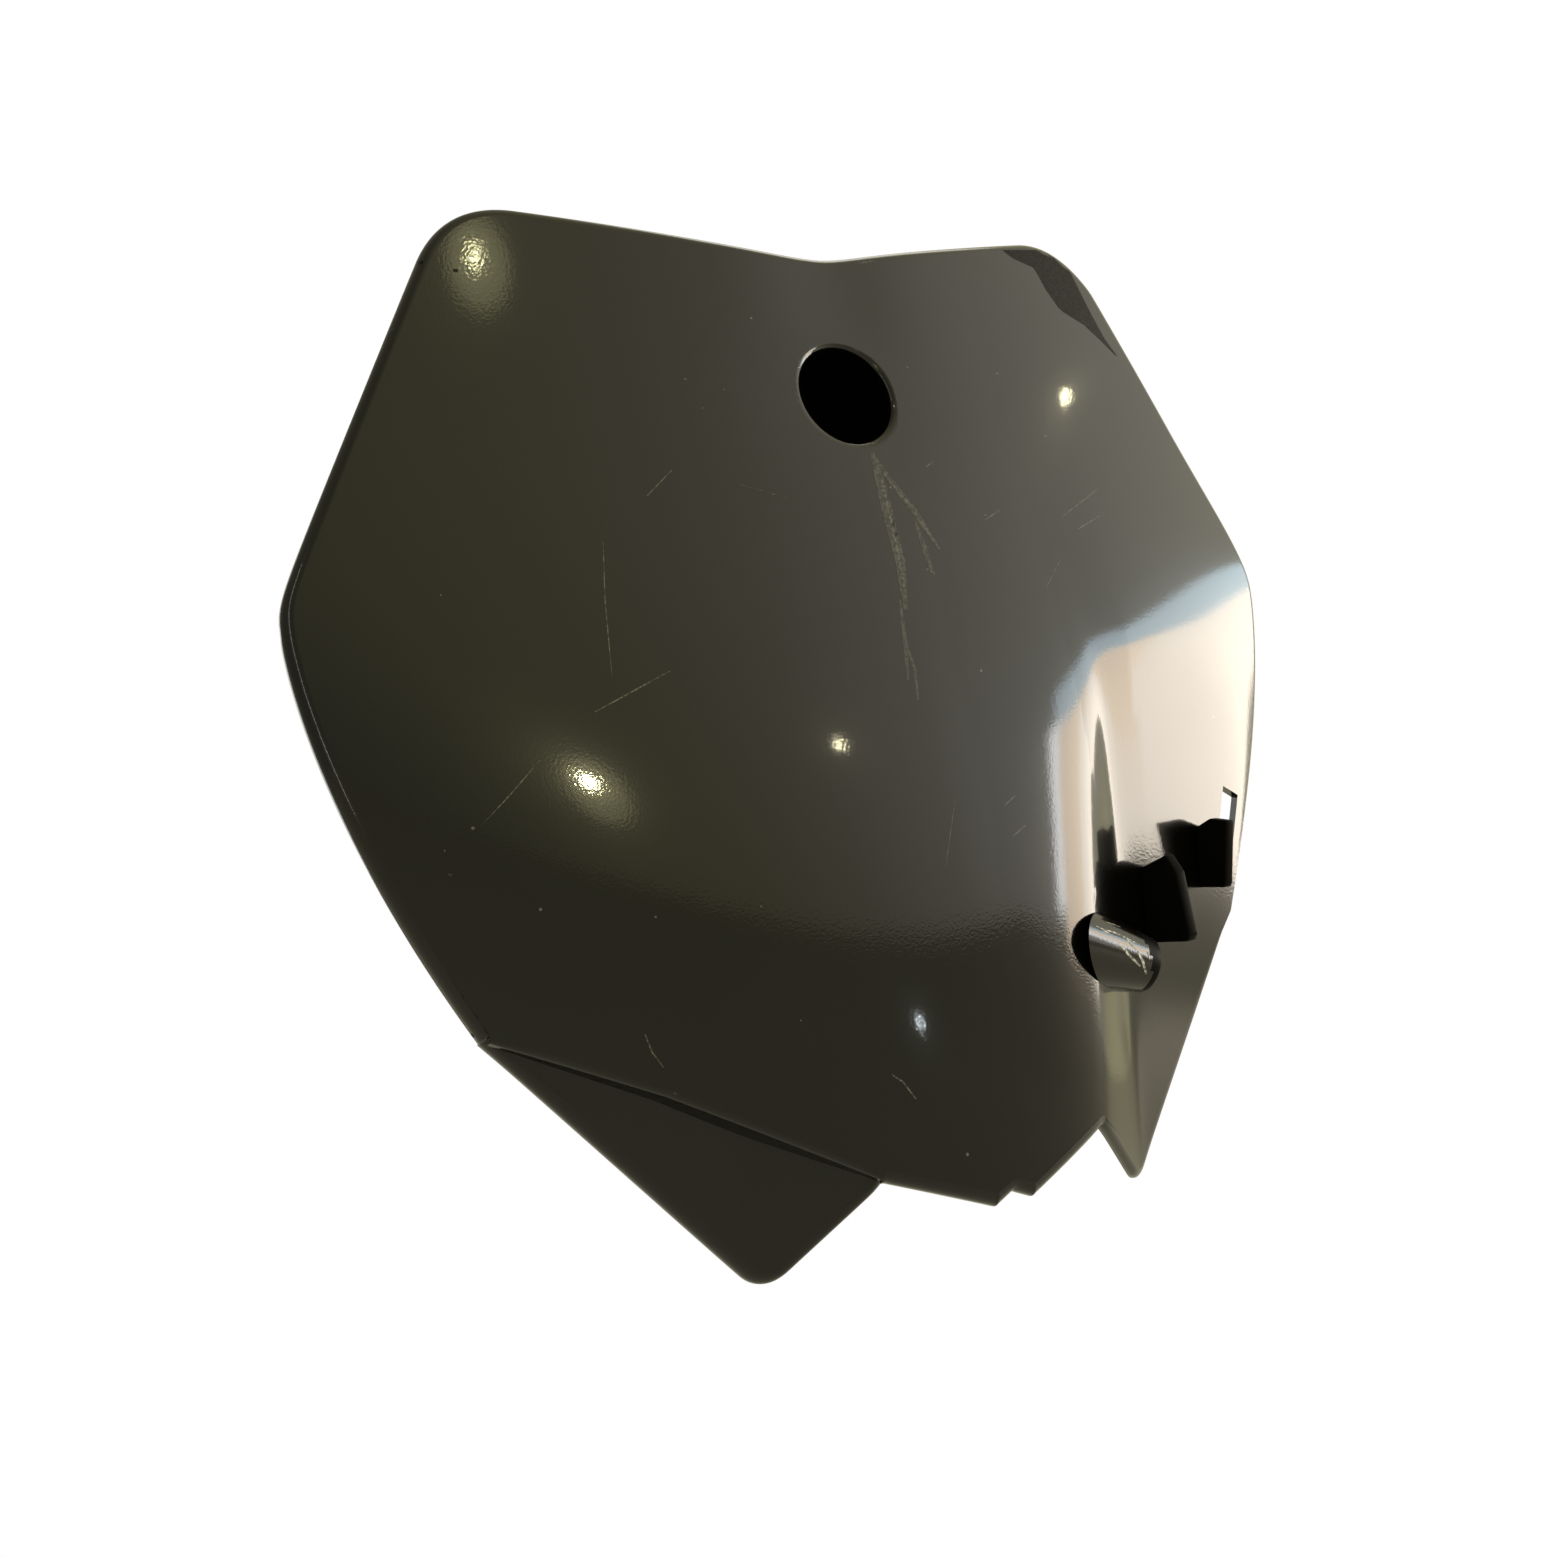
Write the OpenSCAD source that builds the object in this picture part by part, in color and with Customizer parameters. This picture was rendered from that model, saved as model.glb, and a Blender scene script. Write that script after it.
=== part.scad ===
// Front number board for an off-road racing bike, one injection-moulded shell.
// Origin: centre of the mouth of the upper mounting cup. Front faces -Y, up is +Z, +X is picture right.

/* [Hole] */
// Diameter of the upper mounting cup
hole_d = 21.6; // [18:0.1:24]
// Width of the rounded lip round the cup
lip_w = 1.9; // [1.2:0.1:2.4]
// Depth of the rounded lip
lip_depth = 1.4; // [0.8:0.1:1.6]
// Depth of the cup inside
cup_depth = 18; // [10:0.5:22]
// Wall of the cup
cup_wall = 2.2; // [1.8:0.1:3]
// Clearance hole for the mounting bolt in the floor of the cup
bolt_d = 7; // [5:0.1:9]

/* [Shell] */
// Wall thickness of the shell
wall = 2; // [1.8:0.05:2.2]
// Outer radius of the rolled edge
roll_r = 2.3; // [2.2:0.05:2.8]
// Straight return behind the rolled edge
flange = 0.6; // [0.4:0.1:2]

/* [Outline] */
// Height of the top notch above the hole
notch_z = 32.3; // [28:0.5:40]
// Rise of the top edge to the left corner
top_rise_l = 0.138; // [0.1:0.002:0.2]
// Rise of the top edge to the right corner, which is warped upward
top_rise_r = 0.2; // [0.1:0.002:0.22]
// Softness of the notch on the left
notch_soft_l = 14; // [4:0.5:20]
// Softness of the notch on the right
notch_soft_r = 5; // [4:0.5:20]
// Tangent length of the rounded top corners
corner_len = 13; // [8:0.5:16]
// Half width at the widest corners
wide_x = 118.6; // [112:0.1:125]
// Height of the widest corners, below the hole
wide_z = -38; // [-45:0.5:-32]
// Slope of the upper side edges
side_slope = 0.506; // [0.45:0.002:0.55]
// Half width where the panel meets the leg rim
join_x = 92.4; // [88:0.1:96]
// Height where the panel meets the leg rim
join_z = -118; // [-122:0.5:-114]
// Bow of the lower side edges
side_bow = 5.4; // [2:0.1:8]

/* [Legs] */
// Leg tip, distance from the centre plane
tip_x = 46.2; // [42:0.1:50]
// Leg tip, height
tip_z = -173.6; // [-178:0.1:-168]
// Tangent length of the rounded leg tip
tip_len = 5.5; // [4:0.1:8]
// Foot corner between leg and nose, distance from the centre plane
foot_x = 26.1; // [24.5:0.1:28]
// Foot corner between leg and nose, height
foot_z = -157.5; // [-160:0.1:-155]
// Bend in the lower panel edge, distance from the centre plane
bend_x = 63; // [58:0.1:66]
// Bend in the lower panel edge, height
bend_z = -134.2; // [-136:0.1:-132]
// Smallest step between panel edge and left leg
step_min = 1.2; // [0.8:0.1:1.6]
// Rounding of the stepped panel edge
step_r = 1.2; // [0.6:0.1:1.6]

/* [Nose] */
// Distance of the nose bumps from the centre plane
bump_x = 4.4; // [3.5:0.1:6]
// Height of the nose bumps
bump_z = -166.6; // [-169:0.1:-165]
// Height of the nose notch
nose_z = -164.6; // [-166:0.1:-163]

/* [Surfaces] */
// Forward bulge of the panel below the hole
bulge = 5; // [3:0.1:7]
// Rearward lean of the nose
nose_back = 2.6; // [1.5:0.1:4]
// Sideways curvature of the panel near the hole
curve_top = 0.00102; // [0.0008:0.00001:0.0013]
// Growth of the curvature towards the nose
curve_grow = 0.0000215; // [0.000015:0.0000005:0.00003]
// Depth of the wing plane at the leg crease
wing_y = 17.7; // [15:0.1:20]
// Slope of the wing plane across
wing_sx = 0.247; // [0.2:0.001:0.3]
// Slope of the wing plane down the part
wing_sz = -0.229; // [-0.28:0.001:-0.18]
// Slope of the inner face across
inner_sx = 0.73; // [0.65:0.01:0.8]
// Depth of the inner face at the foot corner
inner_y = 5; // [4:0.1:6]
// Distance of the leg crease from the centre plane
crease_x = 47.4; // [45:0.1:50]
// Roundness of the fold crest at its lower end
crest_low = 1.4; // [1:0.1:2.5]
// Extra roundness of the fold crest at its upper end
crest_up = 2.0; // [0:0.1:3]
// Roundness of the leg crease
crease_k = 1.1; // [0.8:0.1:2]

/* [Hose guide] */
// Outer radius of the curved tongue
tongue_r = 5.9; // [5.4:0.1:6.6]
// Wall of the curved tongue
tongue_wall = 2.2; // [1.8:0.1:3]
// Thickness of the middle finger
finger_w = 4; // [3:0.1:5]
// Length of the middle finger along the wing
finger_len = 15; // [12:0.1:18]
// Standing height of the middle finger
finger_h = 12.5; // [10:0.1:16]
// Thickness of the upper finger
upper_w = 3; // [2.5:0.1:4]
// Length of the upper finger
upper_len = 14; // [11:0.1:17]
// Standing height of the upper finger
upper_h = 11; // [8:0.1:14]
// Width of the window above the upper finger
window_w = 6.6; // [5:0.1:8]
// Length of the window
window_len = 11.5; // [9:0.1:14]

/* [Hidden] */
shell_black = [0.09, 0.09, 0.08];

// Columns from the centre plane: crest, foot corner, crease, rim.
n_crest = 6;
n_foot = 8;
n_crease = 12;
n_rim = 20;
n_row = 30;
n_leg = 6;
// Column places at the lower edge, at the crest head and at the top edge.
crest_lo = 22;
crest_head_z = -68;
crest_mid = 34;
foot_mid = 38;
crest_hi = 44;
foot_hi = 49;
crease_hi = 60;

function mix(a, b, t) = a + (b - a) * t;
function clamp01(t) = min(1, max(0, t));
function smin(a, b, k) = 0.5 * (a + b - sqrt((a - b) * (a - b) + k * k));
function smax(a, b, k) = 0.5 * (a + b + sqrt((a - b) * (a - b) + k * k));
function unit(v) = v / norm(v);

// Depth of the convex panel, of the flat wing and of the inner leg face.
function centre_y(z) = let (t = min(1.1, max(0, -z / 160)))
    -bulge * pow(sin(180 * t), 2) + nose_back * pow(t, 4);
function curvature(z) = curve_top + curve_grow * smax(-z - 34, 0, 14);
function panel_y(x, z) = centre_y(z) + curvature(z) * x * x;
function wing(x, z) = wing_y + wing_sx * (x - crease_x) + wing_sz * (z + 144.5);
function inner(x, z) = inner_y + inner_sx * (x - foot_x) + wing_sz * (z - foot_z);
function leg_y(x, z) = smin(inner(abs(x), z), wing(abs(x), z), crease_k);
function crest_k(x, z) = crest_low
    + crest_up * clamp01((z + 157) / 70) * clamp01((60 - x) / 20);
function front_y(x, z) = x <= 0 ? panel_y(x, z)
    : mix(panel_y(x, z), smax(panel_y(x, z), leg_y(x, z), crest_k(x, z)), clamp01(x / 8));
function left_leg_y(x, z) = smax(leg_y(x, z), panel_y(x, z) + step_min, 0.5);
// Kind 0 is the panel with the right wing, kind 1 the stepped left leg.
function depth(kind, x, z) = kind == 0 ? front_y(x, z) : left_leg_y(x, z);
function back_normal(kind, x, z) = let (e = 0.05)
    unit([depth(kind, x - e, z) - depth(kind, x + e, z), 2 * e,
          depth(kind, x, z - e) - depth(kind, x, z + e)]);

// Right half of the outline as [x, z]; side is 1 on the right and -1 on the left.
function top_edge(side, x) = side > 0
    ? notch_z + top_rise_r * (sqrt(x * x + notch_soft_r * notch_soft_r) - notch_soft_r)
    : notch_z + top_rise_l * (sqrt(x * x + notch_soft_l * notch_soft_l) - notch_soft_l);
function side_low(z) = let (t = (wide_z - z) / (wide_z - join_z))
    mix(wide_x, join_x, t) + side_bow * 4 * t * (1 - t) / (1 + 0.35 * t);
function side_x(z) = smin(wide_x - side_slope * (z - wide_z), side_low(z), 2.4);
// Height of the sharp top corner, found by repeated substitution.
function corner_z(side, z = 42, n = 6) = n == 0 ? z : corner_z(side, top_edge(side, side_x(z)), n - 1);
function bezier(a, c, b, t) = (1 - t) * (1 - t) * a + 2 * t * (1 - t) * c + t * t * b;
function corner_point(side, t) = let (zc = corner_z(side), xc = side_x(zc),
    a = [xc - corner_len, top_edge(side, xc - corner_len)],
    zb = zc - corner_len / sqrt(1 + side_slope * side_slope))
    bezier(a, [xc, zc], [side_x(zb), zb], t);
function top_start(side) = side_x(corner_z(side)) - corner_len;

// Boundary places of column i and row j on one side.
arc_half = 0.78 * corner_len;
function top_place(i, side) = let (s = top_start(side) + arc_half)
    i <= n_crest ? crest_hi * i / n_crest
    : i <= n_foot ? mix(crest_hi, foot_hi, (i - n_crest) / (n_foot - n_crest))
    : i <= n_crease ? mix(foot_hi, crease_hi, (i - n_foot) / (n_crease - n_foot))
    : mix(crease_hi, s, (i - n_crease) / (n_rim - n_crease));
function top_point(i, side) = let (s = top_place(i, side), a = top_start(side))
    s <= a ? [s, top_edge(side, s)] : corner_point(side, 0.5 * (1 - (s - a) / arc_half) < 0
        ? 0.5 : 0.5 * (s - a) / arc_half);
function rim_point(j, side) = let (zc = corner_z(side),
    zb = zc - corner_len / sqrt(1 + side_slope * side_slope),
    total = arc_half + zb - join_z, s = total * j / n_row)
    s < arc_half ? corner_point(side, 0.5 + 0.5 * s / arc_half)
    : let (z = zb - (s - arc_half)) [side_x(z), z];
function low_x(i) = i == 0 ? 0
    : i <= n_crest ? mix(bump_x, crest_lo, (i - 1) / (n_crest - 1))
    : i <= n_foot ? mix(crest_lo, foot_x, (i - n_crest) / (n_foot - n_crest))
    : i <= n_crease ? mix(foot_x, crease_x, (i - n_foot) / (n_crease - n_foot))
    : mix(crease_x, join_x, (i - n_crease) / (n_rim - n_crease));
function low_z(x) = x <= bump_x ? mix(nose_z, bump_z, x / bump_x)
    : x <= foot_x ? mix(bump_z, foot_z, (x - bump_x) / (foot_x - bump_x))
    : x <= bend_x ? mix(foot_z, bend_z, (x - foot_x) / (bend_x - foot_x))
    : mix(bend_z, join_z, (x - bend_x) / (join_x - bend_x));
function low_point(i) = [low_x(i), low_z(low_x(i))];

// Leg outline: from the join down the outer edge, round the tip, up to the foot corner.
join = [join_x, join_z];
tip = [tip_x, tip_z];
foot = [foot_x, foot_z];
outer_dir = unit(join - tip);
inner_dir = unit(foot - tip);
leg_out_end = mix(join, tip, 0.2);
leg_in_end = mix(foot, tip, 0.25);
tip_a = tip + outer_dir * tip_len;
tip_b = tip + inner_dir * tip_len;
function leg_low(i) = i <= n_crease - 2
    ? mix(leg_in_end, tip_b, (i - n_foot) / (n_crease - 2 - n_foot))
    : i <= n_crease + 2 ? bezier(tip_b, tip, tip_a, (i - n_crease + 2) / 4)
    : mix(tip_a, leg_out_end, (i - n_crease - 2) / (n_rim - n_crease - 2));
function leg_side(top, low, k) = mix(top, low, k / n_leg);

// Whole outline as one closed loop of [x, z], clockwise in the picture from the top left.
function flip(p, side) = [p[0] * side, p[1]];
function half_down(side) = concat(
    [for (j = [1:n_row]) flip(rim_point(j, side), side)],
    [for (k = [1:n_leg]) flip(leg_side(join, leg_out_end, k), side)],
    [for (i = [n_rim - 1:-1:n_foot]) flip(leg_low(i), side)],
    [for (k = [n_leg - 1:-1:0]) flip(leg_side(foot, leg_in_end, k), side)]);
function reversed(v) = [for (i = [len(v) - 1:-1:0]) v[i]];
top_row = concat([for (i = [n_rim:-1:1]) flip(top_point(i, -1), -1)],
                 [for (i = [0:n_rim]) top_point(i, 1)]);
nose_row = concat([for (i = [n_foot - 1:-1:0]) low_point(i)],
                  [for (i = [1:n_foot - 1]) flip(low_point(i), -1)]);
half_len = len(half_down(1));
outline = concat(top_row, half_down(1), nose_row, reversed(half_down(-1)));
n_out = len(outline);
function outward(i) = let (a = outline[(i + n_out - 1) % n_out], b = outline[(i + 1) % n_out],
    p = outline[i], d = unit(unit(p - a) + unit(b - p))) [-d[1], d[0]];
normals = [for (i = [0:n_out - 1]) outward(i)];
function inset(i, d, shift = 0) = outline[i] - normals[i] * d
    + [normals[i][1], -normals[i][0]] * shift;

// Places in the loop of the boundary columns and rows.
function loop_top(i) = i + n_rim;
function loop_rim(j, side) = side > 0 ? 2 * n_rim + j : (n_out - j) % n_out;
function loop_join_side(k, side) = loop_rim(n_row, side) + side * k;
function loop_leg_low(i, side) = loop_join_side(n_leg, side) + side * (n_rim - i);
function loop_foot_side(k, side) = loop_leg_low(n_foot, side) + side * (n_leg - k);
function loop_nose(i) = i >= 0 ? loop_foot_side(0, 1) + n_foot - i
    : loop_foot_side(0, 1) + n_foot - i;

// Unit direction across the stepped lower edge, pointing off the panel.
function step_dir(i) = let (a = low_point(max(n_foot, i - 1)), b = low_point(min(n_rim, i + 1)),
    d = unit(b - a)) [d[1], -d[0]];
function step_h(i) = let (p = low_point(i)) left_leg_y(-p[0], p[1]) - panel_y(p[0], p[1]);
function step_round(i) = min(step_r, 0.45 * step_h(i));
// Where the step runs out at the outline its parts sit side by side, this far apart.
end_gap = 0.16;
function end_loop(i) = i == n_foot ? loop_foot_side(0, -1) : loop_join_side(0, -1);
function end_shift(i, part) = (i == n_foot ? end_gap : -end_gap) * part;
function end_node(i, part) = inset(end_loop(i), roll_r, end_shift(i, part));

// Lower end of column i on one side, pulled in from the outline or from the stepped edge.
function low_node(i, side, d) = i <= n_foot
    ? flip(inset(loop_nose(side * i), roll_r), side)
    : i == n_rim ? flip(inset(loop_rim(n_row, side), roll_r), side)
    : side < 0 ? low_point(i) - step_dir(i) * d : low_point(i);
function top_node(i, side) = flip(inset(loop_top(side * i), roll_r), side);
function rim_node(j, side) = flip(inset(loop_rim(j, side), roll_r), side);

// Inner column path: bottom, crest head, top.
function mid_x(i) = i <= n_crest ? crest_mid * i / n_crest
    : i <= n_foot ? mix(crest_mid, foot_mid, (i - n_crest) / (n_foot - n_crest))
    : mix(foot_mid, crease_x, (i - n_foot) / (n_crease - n_foot));
function column_x(lo, hi, m, z) = z < crest_head_z
    ? mix(lo[0], m, (z - lo[1]) / (crest_head_z - lo[1]))
    : mix(m, hi[0], (z - crest_head_z) / (hi[1] - crest_head_z));
function inner_node(i, j, side, d) = let (lo = low_node(i, side, d), hi = top_node(i, side),
    z = mix(hi[1], lo[1], j / n_row)) [column_x(lo, hi, mid_x(i), z), z];
function grid_node(i, j, side, d) = i <= n_crease ? inner_node(i, j, side, d)
    : let (f = (i - n_crease) / (n_rim - n_crease), v = j / n_row,
        k0 = inner_node(n_crease, 0, side, d), k1 = inner_node(n_crease, n_row, side, d),
        r0 = rim_node(0, side), r1 = low_node(n_rim, side, d))
    mix(inner_node(n_crease, j, side, d), j == n_row ? r1 : rim_node(j, side), f)
    + (1 - v) * (top_node(i, side) - mix(k0, r0, f))
    + v * (low_node(i, side, d) - mix(k1, r1, f));

// Points of the shell. The front lists hold [x, y, z]; the back lists are the same places
// one wall thickness behind.
function lift(kind, p, e = 0) = [p[0], depth(kind, p[0], p[1]) + e, p[1]];
function behind(kind, p) = lift(kind, p) + wall * back_normal(kind, p[0], p[1]);
function main_front(i, j) = let (s = i < 0 ? -1 : 1,
    p = flip(grid_node(abs(i), j, s, s < 0 ? step_round(max(n_foot, abs(i))) : 0), s)) lift(0, p);
function main_back(i, j) = let (s = i < 0 ? -1 : 1,
    p = flip(grid_node(abs(i), j, s, wall), s))
    i < -n_foot && i > -n_rim && j == n_row ? lift(0, p, wall) : behind(0, p);
// Left step, columns from the foot corner to the join, part 0..3 round the crest, 4 the foot.
step_turn = [0, 30, 60, 90];
function step_front(i, part) = let (r = step_round(i), p = low_point(i), q = end_node(i, part),
    ends = i == n_foot || i == n_rim,
    g = ends ? q : flip(p - step_dir(i) * r * (1 - sin(step_turn[min(3, part)])), -1))
    part == 4 ? lift(1, ends ? q : flip(p + step_dir(i) * 0.25, -1))
    : lift(0, g, r * (1 - cos(step_turn[part])));
function step_back(i, part) = let (ends = i == n_foot || i == n_rim,
    g = flip(low_point(i) - step_dir(i) * wall, -1))
    ends ? mix(behind(0, end_node(i, part)), behind(1, end_node(i, part)), part / 4)
    : mix(lift(0, g, wall), lift(1, g, wall), part / 4);
function leg_node(i, k, side) = i == n_foot ? inset(loop_foot_side(k, side), roll_r)
    : i == n_rim ? inset(loop_join_side(k, side), roll_r)
    : let (low = inset(loop_leg_low(i, side), roll_r), top = flip(low_point(i), side))
    mix(top, low, k / n_leg);

cols = 2 * n_rim + 1;
rows = n_row + 1;
n_step = n_rim - n_foot + 1;
main_count = cols * rows;
step_count = 4 * n_step;
leg_count = n_step * n_leg;
grid_count = main_count + step_count + 2 * leg_count;

// Numbering of the front grid; the back grid repeats it after the front.
function id_main(i, j) = (i + n_rim) * rows + j;
function id_step(i, part) = part == 0 ? id_main(-i, n_row)
    : main_count + (i - n_foot) * 4 + part - 1;
function id_leg(i, k, side) = k == 0
    ? (side > 0 ? id_main(i, n_row) : id_step(i, 4))
    : main_count + step_count + (side > 0 ? 0 : leg_count) + (i - n_foot) * n_leg + k - 1;

front_points = concat(
    [for (i = [-n_rim:n_rim], j = [0:n_row]) main_front(i, j)],
    [for (i = [n_foot:n_rim], part = [1:4]) step_front(i, part)],
    [for (side = [1, -1], i = [n_foot:n_rim], k = [1:n_leg])
        lift(side > 0 ? 0 : 1, leg_node(i, k, side))]);
back_points = concat(
    [for (i = [-n_rim:n_rim], j = [0:n_row]) main_back(i, j)],
    [for (i = [n_foot:n_rim], part = [1:4]) step_back(i, part)],
    [for (side = [1, -1], i = [n_foot:n_rim], k = [1:n_leg])
        behind(side > 0 ? 0 : 1, leg_node(i, k, side))]);

// Boundary walk as [front point number, outline number, kind, extra depth, shift along].
function walk(id, o, kind, e = 0, shift = 0) = [id, o, kind, e, shift];
function walk_step(i, part) = walk(id_step(i, part), end_loop(i), part == 4 ? 1 : 0,
    part == 4 ? 0 : step_round(i) * (1 - cos(step_turn[part])), end_shift(i, part));
boundary = concat(
    [for (i = [-n_rim:n_rim]) walk(id_main(i, 0), loop_top(i), 0)],
    [for (j = [1:n_row]) walk(id_main(n_rim, j), loop_rim(j, 1), 0)],
    [for (k = [1:n_leg]) walk(id_leg(n_rim, k, 1), loop_join_side(k, 1), 0)],
    [for (i = [n_rim - 1:-1:n_foot]) walk(id_leg(i, n_leg, 1), loop_leg_low(i, 1), 0)],
    [for (k = [n_leg - 1:-1:0]) walk(id_leg(n_foot, k, 1), loop_foot_side(k, 1), 0)],
    [for (i = [n_foot - 1:-1:-n_foot]) walk(id_main(i, n_row), loop_nose(i), 0)],
    [for (part = [1:4]) walk_step(n_foot, part)],
    [for (k = [1:n_leg - 1]) walk(id_leg(n_foot, k, -1), loop_foot_side(k, -1), 1)],
    [for (i = [n_foot:n_rim]) walk(id_leg(i, n_leg, -1), loop_leg_low(i, -1), 1)],
    [for (k = [n_leg - 1:-1:1]) walk(id_leg(n_rim, k, -1), loop_join_side(k, -1), 1)],
    [for (part = [4:-1:1]) walk_step(n_rim, part)],
    [for (j = [n_row:-1:1]) walk(id_main(-n_rim, j), loop_rim(j, -1), 0)]);
n_loop = len(boundary);

// Rolled edge: rings 0..2 round the outside, 3 the end of the return, 4 and 5 inside.
turns = [30, 60, 90];
function ring(r, b) = let (o = b[1], kind = b[2], e = b[3], w = b[4])
    r <= 2 ? let (p = inset(o, roll_r * (1 - sin(turns[r])), w))
        lift(kind, p, e + roll_r * (1 - cos(turns[r])))
    : let (q = inset(o, 0, w), p = inset(o, r == 3 ? 0 : wall, w),
        y = depth(kind, q[0], q[1]) + e + roll_r)
        [p[0], y + (r == 5 ? 0 : flange), p[1]];
ring_points = [for (r = [0:5], b = boundary) ring(r, b)];
shell_points = concat(front_points, back_points, ring_points);

// Triangles, seen from the front, of one grid cell with corners a b over d c.
function cell(a, b, c, d) = [[a, b, c], [a, c, d]];
function cell2(a, b, c, d) = [[a, b, d], [b, c, d]];
function leg_cell(first, a, b, c, d) = first ? cell(a, b, c, d) : cell2(a, b, c, d);
main_cells = [for (i = [-n_rim:n_rim - 1], j = [0:n_row - 1])
    let (a = id_main(i, j), b = id_main(i + 1, j), c = id_main(i + 1, j + 1), d = id_main(i, j + 1))
    each (i < 0 ? cell(a, b, c, d) : cell2(a, b, c, d))];
step_cells = [for (i = [n_foot:n_rim - 1], part = [0:3])
    each cell(id_step(i + 1, part), id_step(i, part), id_step(i, part + 1), id_step(i + 1, part + 1))];
leg_cells = [for (side = [1, -1], i = [n_foot:n_rim - 1], k = [0:n_leg - 1])
    let (l = side > 0 ? i : i + 1, r = side > 0 ? i + 1 : i)
    each leg_cell((side > 0) == (i >= n_crease), id_leg(l, k, side), id_leg(r, k, side),
        id_leg(r, k + 1, side), id_leg(l, k + 1, side))];
front_cells = concat(main_cells, step_cells, leg_cells);
function id_ring(r, n) = r == -1 ? boundary[n % n_loop][0]
    : r == 6 ? grid_count + boundary[n % n_loop][0]
    : 2 * grid_count + r * n_loop + n % n_loop;
ring_cells = [for (r = [-1:5], n = [0:n_loop - 1])
    each cell(id_ring(r, n), id_ring(r + 1, n), id_ring(r + 1, n + 1), id_ring(r, n + 1))];
shell_cells = concat(front_cells,
    [for (f = front_cells) [f[2], f[1], f[0]] + [grid_count, grid_count, grid_count]],
    ring_cells);

module shell() {
    polyhedron(points = shell_points, faces = shell_cells, convexity = 8);
}

// Mounting cup: outside, inside with the bolt hole in its floor, and the dished lip.
module cup() {
    rotate([-90, 0, 0]) translate([0, 0, 0.9])
        cylinder(d = hole_d + 2 * cup_wall, h = cup_depth + cup_wall - 0.9, $fn = 72);
}
module bore() {
    rotate([-90, 0, 0]) translate([0, 0, -3]) cylinder(d = hole_d, h = cup_depth + 3, $fn = 72);
    rotate([-90, 0, 0]) translate([0, 0, cup_depth - 1]) cylinder(d = bolt_d, h = cup_wall + 3, $fn = 48);
}
module lip() {
    r = hole_d / 2;
    rotate([-90, 0, 0]) rotate_extrude($fn = 72) polygon(concat(
        [[r - 1, lip_depth], [r - 1, -2], [r + lip_w, -2]],
        [for (a = [90:-15:0]) [r + lip_w * (1 - cos(a)), lip_depth - (lip_depth + 0.15) * sin(a)]]));
}

// Everything in front of the middle of the wing wall.
module before_wing(extra = 1.1) {
    multmatrix([[1, 0, 0, 0], [wing_sx, 1, wing_sz, wing_y + extra - wing_sx * crease_x + wing_sz * 144.5],
                [0, 0, 1, 0]])
        translate([0, -80, -190]) cube([130, 80, 130]);
}
module before_inner(extra = 1.1) {
    multmatrix([[1, 0, 0, 0], [inner_sx, 1, wing_sz, inner_y + extra - inner_sx * foot_x - wing_sz * foot_z],
                [0, 0, 1, 0]])
        translate([0, -120, -190]) cube([130, 120, 130]);
}

// Curved tongue of the hose guide, part of a pipe that grows out of the fold.
tongue_end = [51.4, 8.4, -128.1];
tongue_dir = unit([0.886, 0.222, -0.406]);
tongue_front = unit([0, -1, 0] + tongue_dir[1] * tongue_dir);
tongue_up = cross(tongue_front, tongue_dir);
module tongue() {
    u = tongue_up;
    f = tongue_front;
    d = tongue_dir;
    intersection() {
        multmatrix([[u[0], f[0], d[0], tongue_end[0]], [u[1], f[1], d[1], tongue_end[1]],
                    [u[2], f[2], d[2], tongue_end[2]]])
            translate([0, 0, -28]) intersection() {
                difference() {
                    cylinder(r = tongue_r, h = 28, $fn = 64);
                    translate([0, 0, -1]) cylinder(r = tongue_r - tongue_wall, h = 30, $fn = 64);
                }
                rotate([0, 0, 20]) translate([-20, 0, -1]) cube([40, 20, 30]);
                rotate([0, 0, 195]) translate([-20, -20, -1]) cube([40, 20, 30]);
            }
        before_wing();
        before_inner();
    }
}

// Standing finger: side profile in depth and height, drawn on the wing at x.
module finger(x, z_top, len, h, w) {
    y_top = wing(x, z_top);
    y_low = wing(x, z_top - len);
    translate([x, 0, 0]) rotate([90, 0, 90]) linear_extrude(height = w)
        polygon([[y_top + 1.2, z_top], [y_top - 0.55 * h, z_top + 2.8], [y_top - h, z_top - 0.6],
                 [y_low - h + 1.6, z_top - len + 1.4], [y_low - h + 3.6, z_top - len], [y_low + 1.2, z_top - len]]);
}
module fingers() {
    finger(60, -107.6, finger_len, finger_h, finger_w);
    finger(83.4, -100, upper_len, upper_h, upper_w);
}
// Window through the wing beside the rim.
window_at = [98.2, -96.2];
module window() {
    translate([window_at[0], 0, window_at[1]]) rotate([0, 17, 0])
        translate([-window_w / 2, 5, -window_len / 2]) cube([window_w, 30, window_len]);
}

module number_board() {
    color(shell_black) difference() {
        union() {
            shell();
            cup();
            tongue();
            fingers();
        }
        bore();
        lip();
        window();
    }
}

number_board();
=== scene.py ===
"""Looks of a glossy black racing number board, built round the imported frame."""
import math
import bmesh
import bpy
import numpy as np
from mathutils import Matrix, Vector
from mathutils.bvhtree import BVHTree


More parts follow.
